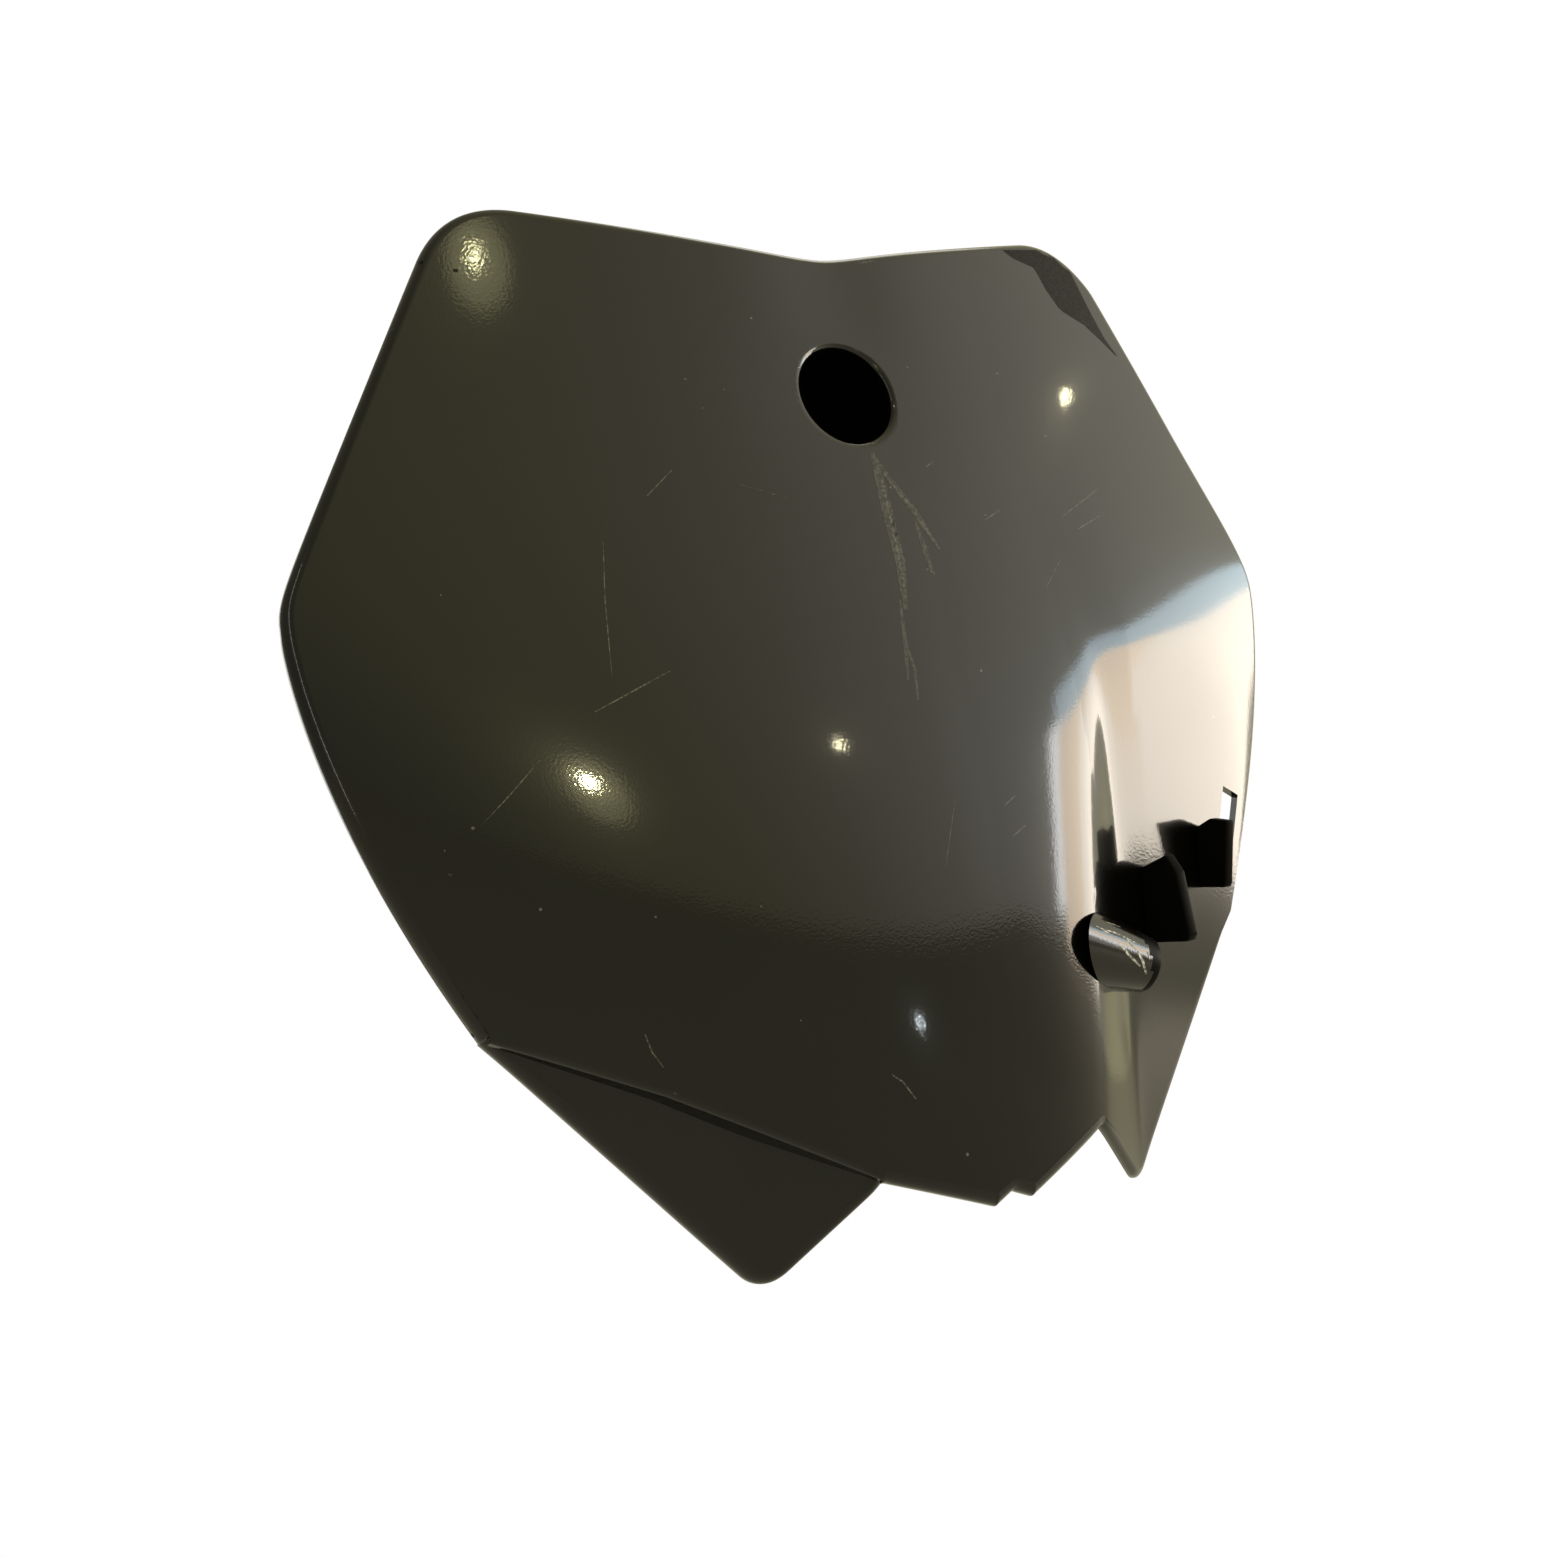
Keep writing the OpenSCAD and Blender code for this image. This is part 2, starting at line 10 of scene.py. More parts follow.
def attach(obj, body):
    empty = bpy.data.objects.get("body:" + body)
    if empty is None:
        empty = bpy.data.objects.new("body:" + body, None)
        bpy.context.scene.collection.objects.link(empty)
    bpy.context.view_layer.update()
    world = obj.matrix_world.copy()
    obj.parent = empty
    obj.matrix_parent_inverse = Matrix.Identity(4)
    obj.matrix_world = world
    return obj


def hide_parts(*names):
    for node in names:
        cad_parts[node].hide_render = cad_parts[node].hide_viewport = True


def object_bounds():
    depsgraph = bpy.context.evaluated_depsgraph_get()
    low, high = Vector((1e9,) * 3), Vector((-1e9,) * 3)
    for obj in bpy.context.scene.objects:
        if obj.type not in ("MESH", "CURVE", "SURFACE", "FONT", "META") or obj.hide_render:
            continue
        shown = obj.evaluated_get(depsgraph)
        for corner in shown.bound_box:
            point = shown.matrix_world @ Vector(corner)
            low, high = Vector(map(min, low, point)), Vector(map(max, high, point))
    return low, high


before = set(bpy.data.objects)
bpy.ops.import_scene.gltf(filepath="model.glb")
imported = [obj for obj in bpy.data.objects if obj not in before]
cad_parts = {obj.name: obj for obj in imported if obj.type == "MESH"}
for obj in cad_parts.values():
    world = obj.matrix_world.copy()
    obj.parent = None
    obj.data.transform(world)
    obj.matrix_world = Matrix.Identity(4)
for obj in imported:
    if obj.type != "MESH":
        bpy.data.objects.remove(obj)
cad_box = [list(map(float, c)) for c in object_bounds()]
MM = 0.001

# Sizes in millimetres with the values of the part's source.
SIZES = dict(
    hole_d=21.6, lip_w=1.9, lip_depth=1.4, cup_depth=18, cup_wall=2.2, bolt_d=7,
    wall=2, roll_r=2.3, flange=0.6,
    notch_z=32.3, top_rise_l=0.138, top_rise_r=0.2, notch_soft_l=14, notch_soft_r=5, corner_len=13,
    wide_x=118.6, wide_z=-38, side_slope=0.506, side_soft=2.4, join_x=92.4, join_z=-118,
    side_bow=5.4, side_skew=0.35,
    tip_x=46.2, tip_z=-173.6, tip_len=5.5, foot_x=26.1, foot_z=-157.5, bend_x=63, bend_z=-134.2,
    step_min=1.2, step_r=1.2, step_soft=0.5, mid_fade=8, bump_x=4.4, bump_z=-166.6, nose_z=-164.6,
    bulge=5, nose_back=2.6, panel_len=160, curve_top=0.00102, curve_grow=0.0000215,
    curve_z=-34, curve_soft=14,
    wing_y=17.7, wing_sx=0.247, wing_sz=-0.229, inner_sx=0.73, inner_y=5, crease_x=47.4, crease_z=-144.5,
    crest_low=1.4, crest_up=2.0, crest_z=-157, crest_rise=70, crest_x=60, crest_fade=20, crease_k=1.1,
    tongue_r=5.9, tongue_wall=2.2, window_w=6.6, window_len=11.5)

# Forms of the photograph that the source does not have, or has in a plainer shape, in millimetres.
DISH, DISH_R = 0.45, 17                             # soft dish round the hole: depth and radius
VALLEY, VALLEY_X, VALLEY_W = 0.9, 2, 13             # soft valley under the notch: depth, middle, half width
VALLEY_Z, VALLEY_FADE = 13, 4                       # height and softness of its lower end
TONGUE_LEN, TONGUE_ROOT_R = 25, 10.2                # the tongue widens toward the fold
TONGUE_END = np.array([47.5, 7.0, -127.7])          # centre of the pipe at its free end
TONGUE_EDGE = [0.856, -0.046, -0.514]               # direction of its straight edge, toward the free end
TONGUE_FROM, TONGUE_TO = 20, 200                    # the part of the pipe that it covers, in degrees
TONGUE_ROUND = 0.8                                  # rounding of its free edges
SINK = 1.1                                          # how far the forms of the guide reach into the sheet
FINGERS = dict(
    middle=dict(x=56.8, z_top=-106.7, length=16.1, h=10.2, h_low=13.3, peak=8.1, drop=3, w=2.6),
    upper=dict(x=79.4, z_top=-99.0, length=13.5, h=9.6, h_low=7.6, peak=4.4, drop=0.7, w=2.4))
WINDOW_X, WINDOW_Z, WINDOW_TILT = 93.24, -96.45, 20

# Steps of the visible mesh.
FINE = 4                    # grid refinement of the visible shell
STEP_PARTS = 8              # rows round the stepped edge
END_GAP = 0.64              # length of the outline over which the step's ends are spread, in millimetres
ARC = 8                     # rows round the rolled edge
SLOPE_STEP = 0.05           # step of the slopes of the surfaces, in millimetres

# Camera of the photograph: place in millimetres, the directions of its picture, and its focal length
# and half the picture's width in pixels.
CAM = np.array([-164.5, -236.4, -130.1])
RIGHT = np.array([0.87645, -0.44006, -0.19539])
DOWN = np.array([-0.08908, 0.25059, -0.96399])
AHEAD = np.array([0.47317, 0.86229, 0.18043])
FOCAL, HALF = 1457.6, 778.5
SENSOR = 36                 # sensor width of the camera

# Plastic, floor and world.
IOR = 1.49
COAT, COAT_ROUGH = 0.75, 0.06
GRAIN, GRAIN_DEPTH = 0.06, 0.0002
DUST = (0.10, 0.095, 0.085, 1)
FLOOR_SIZE, FLOOR_Z, FLOOR_COLOUR = 2.5, -0.55, (0.72, 0.71, 0.66, 1)
SKY_LEVEL = 1.8
SKY_AXIS = (0.8046, -0.5846, 0.1045)        # the world's colour changes along this direction
SKY = ((0.0, (0.30, 0.29, 0.22)), (0.5, (0.37, 0.35, 0.24)), (0.6, (0.52, 0.50, 0.33)),
       (0.7, (0.74, 0.69, 0.40)), (0.8, (0.84, 0.79, 0.48)), (0.9, (1.08, 1.01, 0.74)),
       (0.96, (1.45, 1.38, 1.10)), (1.0, (1.75, 1.70, 1.45)))


def mix(a, b, t):
    return a + (b - a) * t


def unit(v):
    v = np.asarray(v, float)
    return v / np.linalg.norm(v)


def metres(p):
    return [float(c) * MM for c in p]


def smin(a, b, k):
    return 0.5 * (a + b - np.sqrt((a - b) ** 2 + k * k))


def smax(a, b, k):
    return 0.5 * (a + b + np.sqrt((a - b) ** 2 + k * k))


class Board:
    """The shell of the board from its named sizes; points are [x, y, z] in millimetres."""

    def __init__(s, sizes, m):
        s.__dict__.update(sizes)
        s.m = m
        s.n_crest, s.n_foot, s.n_crease, s.n_rim = 6 * m, 8 * m, 12 * m, 20 * m
        s.n_row, s.n_leg = 30 * m, 6 * m
        s.crest_lo, s.crest_head_z, s.crest_mid, s.foot_mid = 22, -68, 34, 38
        s.crest_hi, s.foot_hi, s.crease_hi = 44, 49, 60
        s.arc_half = 0.78 * s.corner_len
        s.join = np.array([s.join_x, s.join_z])
        s.tip = np.array([s.tip_x, s.tip_z])
        s.foot = np.array([s.foot_x, s.foot_z])
        s.leg_out_end = mix(s.join, s.tip, 0.2)
        s.leg_in_end = mix(s.foot, s.tip, 0.25)
        s.tip_a = s.tip + unit(s.join - s.tip) * s.tip_len
        s.tip_b = s.tip + unit(s.foot - s.tip) * s.tip_len
        s.top_z = {side: s.corner_z(side) for side in (1, -1)}
        s.make_outline()

    # Surfaces: depth of the convex panel, the flat wing and the inner leg face.
    def centre_y(s, z):
        t = np.clip(-z / s.panel_len, 0, 1.1)
        return -s.bulge * np.sin(np.pi * t) ** 2 + s.nose_back * t ** 4

    def curvature(s, z):
        return s.curve_top + s.curve_grow * smax(s.curve_z - z, 0, s.curve_soft)

    def panel_y(s, x, z):
        r2 = x * x + z * z
        dish = DISH * np.exp(-r2 / DISH_R ** 2)
        valley = VALLEY * np.exp(-((x - VALLEY_X) / VALLEY_W) ** 2)
        valley /= 1 + np.exp(-(z - VALLEY_Z) / VALLEY_FADE)
        return s.centre_y(z) + s.curvature(z) * x * x + dish + valley

    def wing(s, x, z):
        return s.wing_y + s.wing_sx * (x - s.crease_x) + s.wing_sz * (z - s.crease_z)

    def inner(s, x, z):
        return s.inner_y + s.inner_sx * (x - s.foot_x) + s.wing_sz * (z - s.foot_z)

    def leg_y(s, x, z):
        return smin(s.inner(abs(x), z), s.wing(abs(x), z), s.crease_k)

    def crest_k(s, x, z):
        rise = np.clip((z - s.crest_z) / s.crest_rise, 0, 1)
        return s.crest_low + s.crest_up * rise * np.clip((s.crest_x - x) / s.crest_fade, 0, 1)

    def depth(s, kind, x, z):
        p = s.panel_y(x, z)
        left = smax(s.leg_y(x, z), p + s.step_min, s.step_soft)
        right = mix(p, smax(p, s.leg_y(x, z), s.crest_k(x, z)), np.clip(x / s.mid_fade, 0, 1))
        return np.where(kind == 1, left, np.where(x <= 0, p, right))

    def slopes(s, kind, x, z, e=SLOPE_STEP):
        dx = (s.depth(kind, x + e, z) - s.depth(kind, x - e, z)) / (2 * e)
        dz = (s.depth(kind, x, z + e) - s.depth(kind, x, z - e)) / (2 * e)
        return dx, dz

    def normal(s, kind, x, z):
        dx, dz = s.slopes(kind, x, z)
        return unit([-dx, 1.0, -dz])

    # Outline of one half; side is 1 on the right and -1 on the left.
    def top_edge(s, side, x):
        rise, soft = (s.top_rise_r, s.notch_soft_r) if side > 0 else (s.top_rise_l, s.notch_soft_l)
        return s.notch_z + rise * (math.sqrt(x * x + soft * soft) - soft)

    def side_low(s, z):
        t = (s.wide_z - z) / (s.wide_z - s.join_z)
        return mix(s.wide_x, s.join_x, t) + s.side_bow * 4 * t * (1 - t) / (1 + s.side_skew * t)

    def side_x(s, z):
        return float(smin(s.wide_x - s.side_slope * (z - s.wide_z), s.side_low(z), s.side_soft))

    def corner_z(s, side, z=42, n=6):
        for _ in range(n):
            z = s.top_edge(side, s.side_x(z))
        return z

    @staticmethod
    def bezier(a, c, b, t):
        return (1 - t) ** 2 * a + 2 * t * (1 - t) * c + t * t * b

    def side_start(s, side):
        return s.top_z[side] - s.corner_len / math.sqrt(1 + s.side_slope ** 2)

    def corner_point(s, side, t):
        zc = s.top_z[side]
        xc = s.side_x(zc)
        zb = s.side_start(side)
        a = np.array([xc - s.corner_len, s.top_edge(side, xc - s.corner_len)])
        return s.bezier(a, np.array([xc, zc]), np.array([s.side_x(zb), zb]), t)

    def top_point(s, i, side):
        start = s.side_x(s.top_z[side]) - s.corner_len
        end = start + s.arc_half
        if i <= s.n_crest:
            p = s.crest_hi * i / s.n_crest
        elif i <= s.n_foot:
            p = mix(s.crest_hi, s.foot_hi, (i - s.n_crest) / (s.n_foot - s.n_crest))
        elif i <= s.n_crease:
            p = mix(s.foot_hi, s.crease_hi, (i - s.n_foot) / (s.n_crease - s.n_foot))
        else:
            p = mix(s.crease_hi, end, (i - s.n_crease) / (s.n_rim - s.n_crease))
        if p <= start:
            return np.array([p, s.top_edge(side, p)])
        return s.corner_point(side, 0.5 * (p - start) / s.arc_half)

    def rim_point(s, j, side):
        zb = s.side_start(side)
        q = (s.arc_half + zb - s.join_z) * j / s.n_row
        if q < s.arc_half:
            return s.corner_point(side, 0.5 + 0.5 * q / s.arc_half)
        z = zb - (q - s.arc_half)
        return np.array([s.side_x(z), z])

    def low_x(s, i):
        if i <= s.m:
            return s.bump_x * i / s.m
        if i <= s.n_crest:
            return mix(s.bump_x, s.crest_lo, (i - s.m) / (s.n_crest - s.m))
        if i <= s.n_foot:
            return mix(s.crest_lo, s.foot_x, (i - s.n_crest) / (s.n_foot - s.n_crest))
        if i <= s.n_crease:
            return mix(s.foot_x, s.crease_x, (i - s.n_foot) / (s.n_crease - s.n_foot))
        return mix(s.crease_x, s.join_x, (i - s.n_crease) / (s.n_rim - s.n_crease))

    def low_z(s, x):
        for (xa, za), (xb, zb) in zip(
                ((0, s.nose_z), (s.bump_x, s.bump_z), (s.foot_x, s.foot_z), (s.bend_x, s.bend_z)),
                ((s.bump_x, s.bump_z), (s.foot_x, s.foot_z), (s.bend_x, s.bend_z), (s.join_x, s.join_z))):
            if x <= xb or xb == s.join_x:
                return mix(za, zb, (x - xa) / (xb - xa))

    def low_point(s, i):
        x = s.low_x(i)
        return np.array([x, s.low_z(x)])

    def leg_low(s, i):
        k = 2 * s.m
        if i <= s.n_crease - k:
            return mix(s.leg_in_end, s.tip_b, (i - s.n_foot) / (s.n_crease - k - s.n_foot))
        if i <= s.n_crease + k:
            return s.bezier(s.tip_b, s.tip, s.tip_a, (i - s.n_crease + k) / (2 * k))
        return mix(s.tip_a, s.leg_out_end, (i - s.n_crease - k) / (s.n_rim - s.n_crease - k))

    def half_down(s, side):
        r = [s.rim_point(j, side) for j in range(1, s.n_row + 1)]
        r += [mix(s.join, s.leg_out_end, k / s.n_leg) for k in range(1, s.n_leg + 1)]
        r += [s.leg_low(i) for i in range(s.n_rim - 1, s.n_foot - 1, -1)]
        r += [mix(s.foot, s.leg_in_end, k / s.n_leg) for k in range(s.n_leg - 1, -1, -1)]
        return [p * [side, 1] for p in r]

    def make_outline(s):
        top = [s.top_point(i, -1) * [-1, 1] for i in range(s.n_rim, 0, -1)]
        top += [s.top_point(i, 1) for i in range(s.n_rim + 1)]
        nose = [s.low_point(i) for i in range(s.n_foot - 1, -1, -1)]
        nose += [s.low_point(i) * [-1, 1] for i in range(1, s.n_foot)]
        s.outline = np.array(top + s.half_down(1) + nose + s.half_down(-1)[::-1])
        s.n_out = len(s.outline)
        a, b = np.roll(s.outline, 1, 0), np.roll(s.outline, -1, 0)
        u, v = s.outline - a, b - s.outline
        u /= np.linalg.norm(u, axis=1)[:, None]
        v /= np.linalg.norm(v, axis=1)[:, None]
        d = (u + v) / np.linalg.norm(u + v, axis=1)[:, None]
        s.normals = np.c_[-d[:, 1], d[:, 0]]

    def inset(s, i, d, shift=0.0):
        n = s.normals[i % s.n_out]
        return s.outline[i % s.n_out] - n * d + np.array([n[1], -n[0]]) * shift

    # Places in the outline loop of the boundary columns and rows.
    def loop_top(s, i):
        return i + s.n_rim

    def loop_rim(s, j, side):
        return 2 * s.n_rim + j if side > 0 else (s.n_out - j) % s.n_out

    def loop_join_side(s, k, side):
        return s.loop_rim(s.n_row, side) + side * k

    def loop_leg_low(s, i, side):
        return s.loop_join_side(s.n_leg, side) + side * (s.n_rim - i)

    def loop_foot_side(s, k, side):
        return s.loop_leg_low(s.n_foot, side) + side * (s.n_leg - k)

    def loop_nose(s, i):
        return s.loop_foot_side(0, 1) + s.n_foot - i

    # Stepped edge of the left leg.
    def step_dir(s, i):
        a, b = s.low_point(max(s.n_foot, i - s.m)), s.low_point(min(s.n_rim, i + s.m))
        d = unit(b - a)
        return np.array([d[1], -d[0]])

    def step_round(s, i):
        p = s.low_point(i)
        return min(s.step_r, 0.45 * float(s.depth(1, -p[0], p[1]) - s.panel_y(p[0], p[1])))

    def end_loop(s, i):
        return s.loop_foot_side(0, -1) if i == s.n_foot else s.loop_join_side(0, -1)

    def end_shift(s, i, part):
        gap = END_GAP / STEP_PARTS
        return (gap if i == s.n_foot else -gap) * part

    def end_node(s, i, part):
        return s.inset(s.end_loop(i), s.roll_r, s.end_shift(i, part))

    # Grid places.
    def low_node(s, i, side, d):
        if i <= s.n_foot:
            return s.inset(s.loop_nose(side * i), s.roll_r) * [side, 1]
        if i == s.n_rim:
            return s.inset(s.loop_rim(s.n_row, side), s.roll_r) * [side, 1]
        return s.low_point(i) - s.step_dir(i) * d if side < 0 else s.low_point(i)

    def top_node(s, i, side):
        return s.inset(s.loop_top(side * i), s.roll_r) * [side, 1]

    def rim_node(s, j, side):
        return s.inset(s.loop_rim(j, side), s.roll_r) * [side, 1]

    def inner_node(s, i, j, lo, hi):
        if i <= s.n_crest:
            m = s.crest_mid * i / s.n_crest
        elif i <= s.n_foot:
            m = mix(s.crest_mid, s.foot_mid, (i - s.n_crest) / (s.n_foot - s.n_crest))
        else:
            m = mix(s.foot_mid, s.crease_x, (i - s.n_foot) / (s.n_crease - s.n_foot))
        z = mix(hi[1], lo[1], j / s.n_row)
        if z < s.crest_head_z:
            return np.array([mix(lo[0], m, (z - lo[1]) / (s.crest_head_z - lo[1])), z])
        return np.array([mix(m, hi[0], (z - s.crest_head_z) / (hi[1] - s.crest_head_z)), z])

    def half_grid(s, side, inset_of):
        """Places [i][j] of one half, i from the centre plane to the rim."""
        grid = []
        lo_c, hi_c = s.low_node(s.n_crease, side, inset_of(s.n_crease)), s.top_node(s.n_crease, side)
        rims = [s.rim_node(j, side) for j in range(s.n_row)]
        for i in range(s.n_rim + 1):
            lo, hi = s.low_node(i, side, inset_of(max(s.n_foot, i))), s.top_node(i, side)
            if i <= s.n_crease:
                grid.append([s.inner_node(i, j, lo, hi) for j in range(s.n_row + 1)])
                continue
            f = (i - s.n_crease) / (s.n_rim - s.n_crease)
            end = s.low_node(s.n_rim, side, inset_of(s.n_rim))
            k0, k1 = s.inner_node(s.n_crease, 0, lo_c, hi_c), s.inner_node(s.n_crease, s.n_row, lo_c, hi_c)
            col = []
            for j in range(s.n_row + 1):
                v = j / s.n_row
                r = end if j == s.n_row else rims[j]
                col.append(mix(s.inner_node(s.n_crease, j, lo_c, hi_c), r, f)
                           + (1 - v) * (hi - mix(k0, rims[0], f)) + v * (lo - mix(k1, end, f)))
            grid.append(col)
        return grid

    def lift(s, kind, p, e=0.0):
        return np.array([p[0], float(s.depth(kind, p[0], p[1])) + e, p[1]])

    def behind(s, kind, p):
        return s.lift(kind, p) + s.wall * s.normal(kind, p[0], p[1])

    def build(s):
        """Vertices, triangles and quads of the closed shell."""
        turn = np.radians(np.linspace(0, 90, STEP_PARTS))
        front = {side: s.half_grid(side, s.step_round if side < 0 else (lambda i: 0.0))
                 for side in (1, -1)}
        back = {side: s.half_grid(side, lambda i: s.wall) for side in (1, -1)}
        rows, n = s.n_row + 1, s.n_rim
        n_step = n - s.n_foot + 1
        fp, bp = [], []
        for i in range(-n, n + 1):
            side = -1 if i < 0 else 1
            for j in range(rows):
                fp.append(s.lift(0, front[side][abs(i)][j] * [side, 1]))
                q = back[side][abs(i)][j] * [side, 1]
                flat = -n < i < -s.n_foot and j == s.n_row
                bp.append(s.lift(0, q, s.wall) if flat else s.behind(0, q))
        for i in range(s.n_foot, n + 1):
            r, p, d = s.step_round(i), s.low_point(i), s.step_dir(i)
            ends = i in (s.n_foot, n)
            for part in range(1, STEP_PARTS + 1):
                q = s.end_node(i, part)
                if part == STEP_PARTS:
                    fp.append(s.lift(1, q if ends else (p + d * 0.25) * [-1, 1]))
                else:
                    g = q if ends else (p - d * r * (1 - math.sin(turn[part]))) * [-1, 1]
                    fp.append(s.lift(0, g, r * (1 - math.cos(turn[part]))))
                f = part / STEP_PARTS
                if ends:
                    bp.append(mix(s.behind(0, q), s.behind(1, q), f))
                else:
                    g = (p - d * s.wall) * [-1, 1]
                    bp.append(mix(s.lift(0, g, s.wall), s.lift(1, g, s.wall), f))
        for side in (1, -1):
            kind = 0 if side > 0 else 1
            for i in range(s.n_foot, n + 1):
                for k in range(1, s.n_leg + 1):
                    if i == s.n_foot:
                        q = s.inset(s.loop_foot_side(k, side), s.roll_r)
                    elif i == n:
                        q = s.inset(s.loop_join_side(k, side), s.roll_r)
                    else:
                        low = s.inset(s.loop_leg_low(i, side), s.roll_r)
                        q = mix(s.low_point(i) * [side, 1], low, k / s.n_leg)
                    fp.append(s.lift(kind, q))
                    bp.append(s.behind(kind, q))
        main = (2 * n + 1) * rows
        steps = STEP_PARTS * n_step

        def id_main(i, j):
            return (i + n) * rows + j

        def id_step(i, part):
            return id_main(-i, s.n_row) if part == 0 else main + (i - s.n_foot) * STEP_PARTS + part - 1

        def id_leg(i, k, side):
            if k == 0:
                return id_main(i, s.n_row) if side > 0 else id_step(i, STEP_PARTS)
            return main + steps + (0 if side > 0 else n_step * s.n_leg) + (i - s.n_foot) * s.n_leg + k - 1

        def walk_step(i, part):
            last = part == STEP_PARTS
            e = 0.0 if last else s.step_round(i) * (1 - math.cos(turn[part]))
            return (id_step(i, part), s.end_loop(i), 1 if last else 0, e, s.end_shift(i, part))

        w = [(id_main(i, 0), s.loop_top(i), 0, 0, 0) for i in range(-n, n + 1)]
        w += [(id_main(n, j), s.loop_rim(j, 1), 0, 0, 0) for j in range(1, rows)]
        w += [(id_leg(n, k, 1), s.loop_join_side(k, 1), 0, 0, 0) for k in range(1, s.n_leg + 1)]
        w += [(id_leg(i, s.n_leg, 1), s.loop_leg_low(i, 1), 0, 0, 0)
              for i in range(n - 1, s.n_foot - 1, -1)]
        w += [(id_leg(s.n_foot, k, 1), s.loop_foot_side(k, 1), 0, 0, 0)
              for k in range(s.n_leg - 1, -1, -1)]
        w += [(id_main(i, s.n_row), s.loop_nose(i), 0, 0, 0)
              for i in range(s.n_foot - 1, -s.n_foot - 1, -1)]
        w += [walk_step(s.n_foot, part) for part in range(1, STEP_PARTS + 1)]
        w += [(id_leg(s.n_foot, k, -1), s.loop_foot_side(k, -1), 1, 0, 0) for k in range(1, s.n_leg)]
        w += [(id_leg(i, s.n_leg, -1), s.loop_leg_low(i, -1), 1, 0, 0)
              for i in range(s.n_foot, n + 1)]
        w += [(id_leg(n, k, -1), s.loop_join_side(k, -1), 1, 0, 0)
              for k in range(s.n_leg - 1, 0, -1)]
        w += [walk_step(n, part) for part in range(STEP_PARTS, 0, -1)]
        w += [(id_main(-n, j), s.loop_rim(j, -1), 0, 0, 0) for j in range(s.n_row, 0, -1)]
        rings = []
        for r in range(ARC + 3):
            for _, o, kind, e, shift in w:
                if r < ARC:
                    t = math.radians(90 * (r + 1) / ARC)
                    p = s.inset(o, s.roll_r * (1 - math.sin(t)), shift)
                    rings.append(s.lift(kind, p, e + s.roll_r * (1 - math.cos(t))))
                else:
                    q = s.inset(o, 0, shift)
                    p = s.inset(o, 0 if r == ARC else s.wall, shift)
                    y = float(s.depth(kind, q[0], q[1])) + e + s.roll_r
                    rings.append([p[0], y + (0 if r == ARC + 2 else s.flange), p[1]])
        faces = []
        for i in range(-n, n):
            for j in range(s.n_row):
                faces.append((id_main(i, j), id_main(i + 1, j), id_main(i + 1, j + 1), id_main(i, j + 1)))
        for i in range(s.n_foot, n):
            for part in range(STEP_PARTS):
                faces.append((id_step(i + 1, part), id_step(i, part), id_step(i, part + 1),
                              id_step(i + 1, part + 1)))
        for side in (1, -1):
            for i in range(s.n_foot, n):
                a, b = (i, i + 1) if side > 0 else (i + 1, i)
                for k in range(s.n_leg):
                    faces.append((id_leg(a, k, side), id_leg(b, k, side), id_leg(b, k + 1, side),
                                  id_leg(a, k + 1, side)))
        g, loop = len(fp), len(w)
        faces += [tuple(v + g for v in reversed(f)) for f in faces]

        def id_ring(r, k):
            k %= loop
            if r == -1:
                return w[k][0]
            if r == ARC + 3:
                return g + w[k][0]
            return 2 * g + r * loop + k

        for r in range(-1, ARC + 3):
            for k in range(loop):
                faces.append((id_ring(r, k), id_ring(r + 1, k), id_ring(r + 1, k + 1), id_ring(r, k + 1)))
        return np.array(fp + bp + rings), [tuple(reversed(f)) for f in faces]


B = Board(SIZES, FINE)


def linked(name, data):
    """New object of the scene with the given data."""
    ob = bpy.data.objects.new(name, data)
    bpy.context.scene.collection.objects.link(ob)
    return ob


def mesh_object(name, verts, faces):
    me = bpy.data.meshes.new(name)
    me.from_pydata([metres(v) for v in verts], [], faces)
    me.validate()
    me.update()
    return linked(name, me)


def from_bmesh(name, bm):
    me = bpy.data.meshes.new(name)
    bm.to_mesh(me)
    bm.free()
    return linked(name, me)


def solid(name, bm):
    bmesh.ops.recalc_face_normals(bm, faces=bm.faces)
    return from_bmesh(name, bm)


def prism(profile, depth, place):
    """Closed prism of a counter-clockwise profile, extruded by depth and placed by a function."""
    n = len(profile)
    verts = [place(a, b, 0.0) for a, b in profile] + [place(a, b, depth) for a, b in profile]
    faces = [tuple(range(n)), tuple(range(2 * n - 1, n - 1, -1))]
    faces += [(k, n + k, n + (k + 1) % n, (k + 1) % n) for k in range(n)]
    bm = bmesh.new()
    vs = [bm.verts.new(metres(v)) for v in verts]
    for f in faces:
        bm.faces.new([vs[k] for k in f])
    return bm


def lathe(rings, steps=96):
    """Closed solid of revolution about the Y axis from a list of (radius, y), axis to axis."""
    bm = bmesh.new()
    rows = []
    turns = [2 * math.pi * k / steps for k in range(steps)]
    for r, y in rings:
        if r < 1e-6:
            rows.append([bm.verts.new((0, y * MM, 0))])
        else:
            rows.append([bm.verts.new(metres((r * math.cos(t), y, r * math.sin(t)))) for t in turns])
    for a, b in zip(rows, rows[1:]):
        for k in range(steps):
            q = [a[k % len(a)], a[(k + 1) % len(a)], b[(k + 1) % len(b)], b[k % len(b)]]
            q = list(dict.fromkeys(q))
            bm.faces.new(q)
    return bm


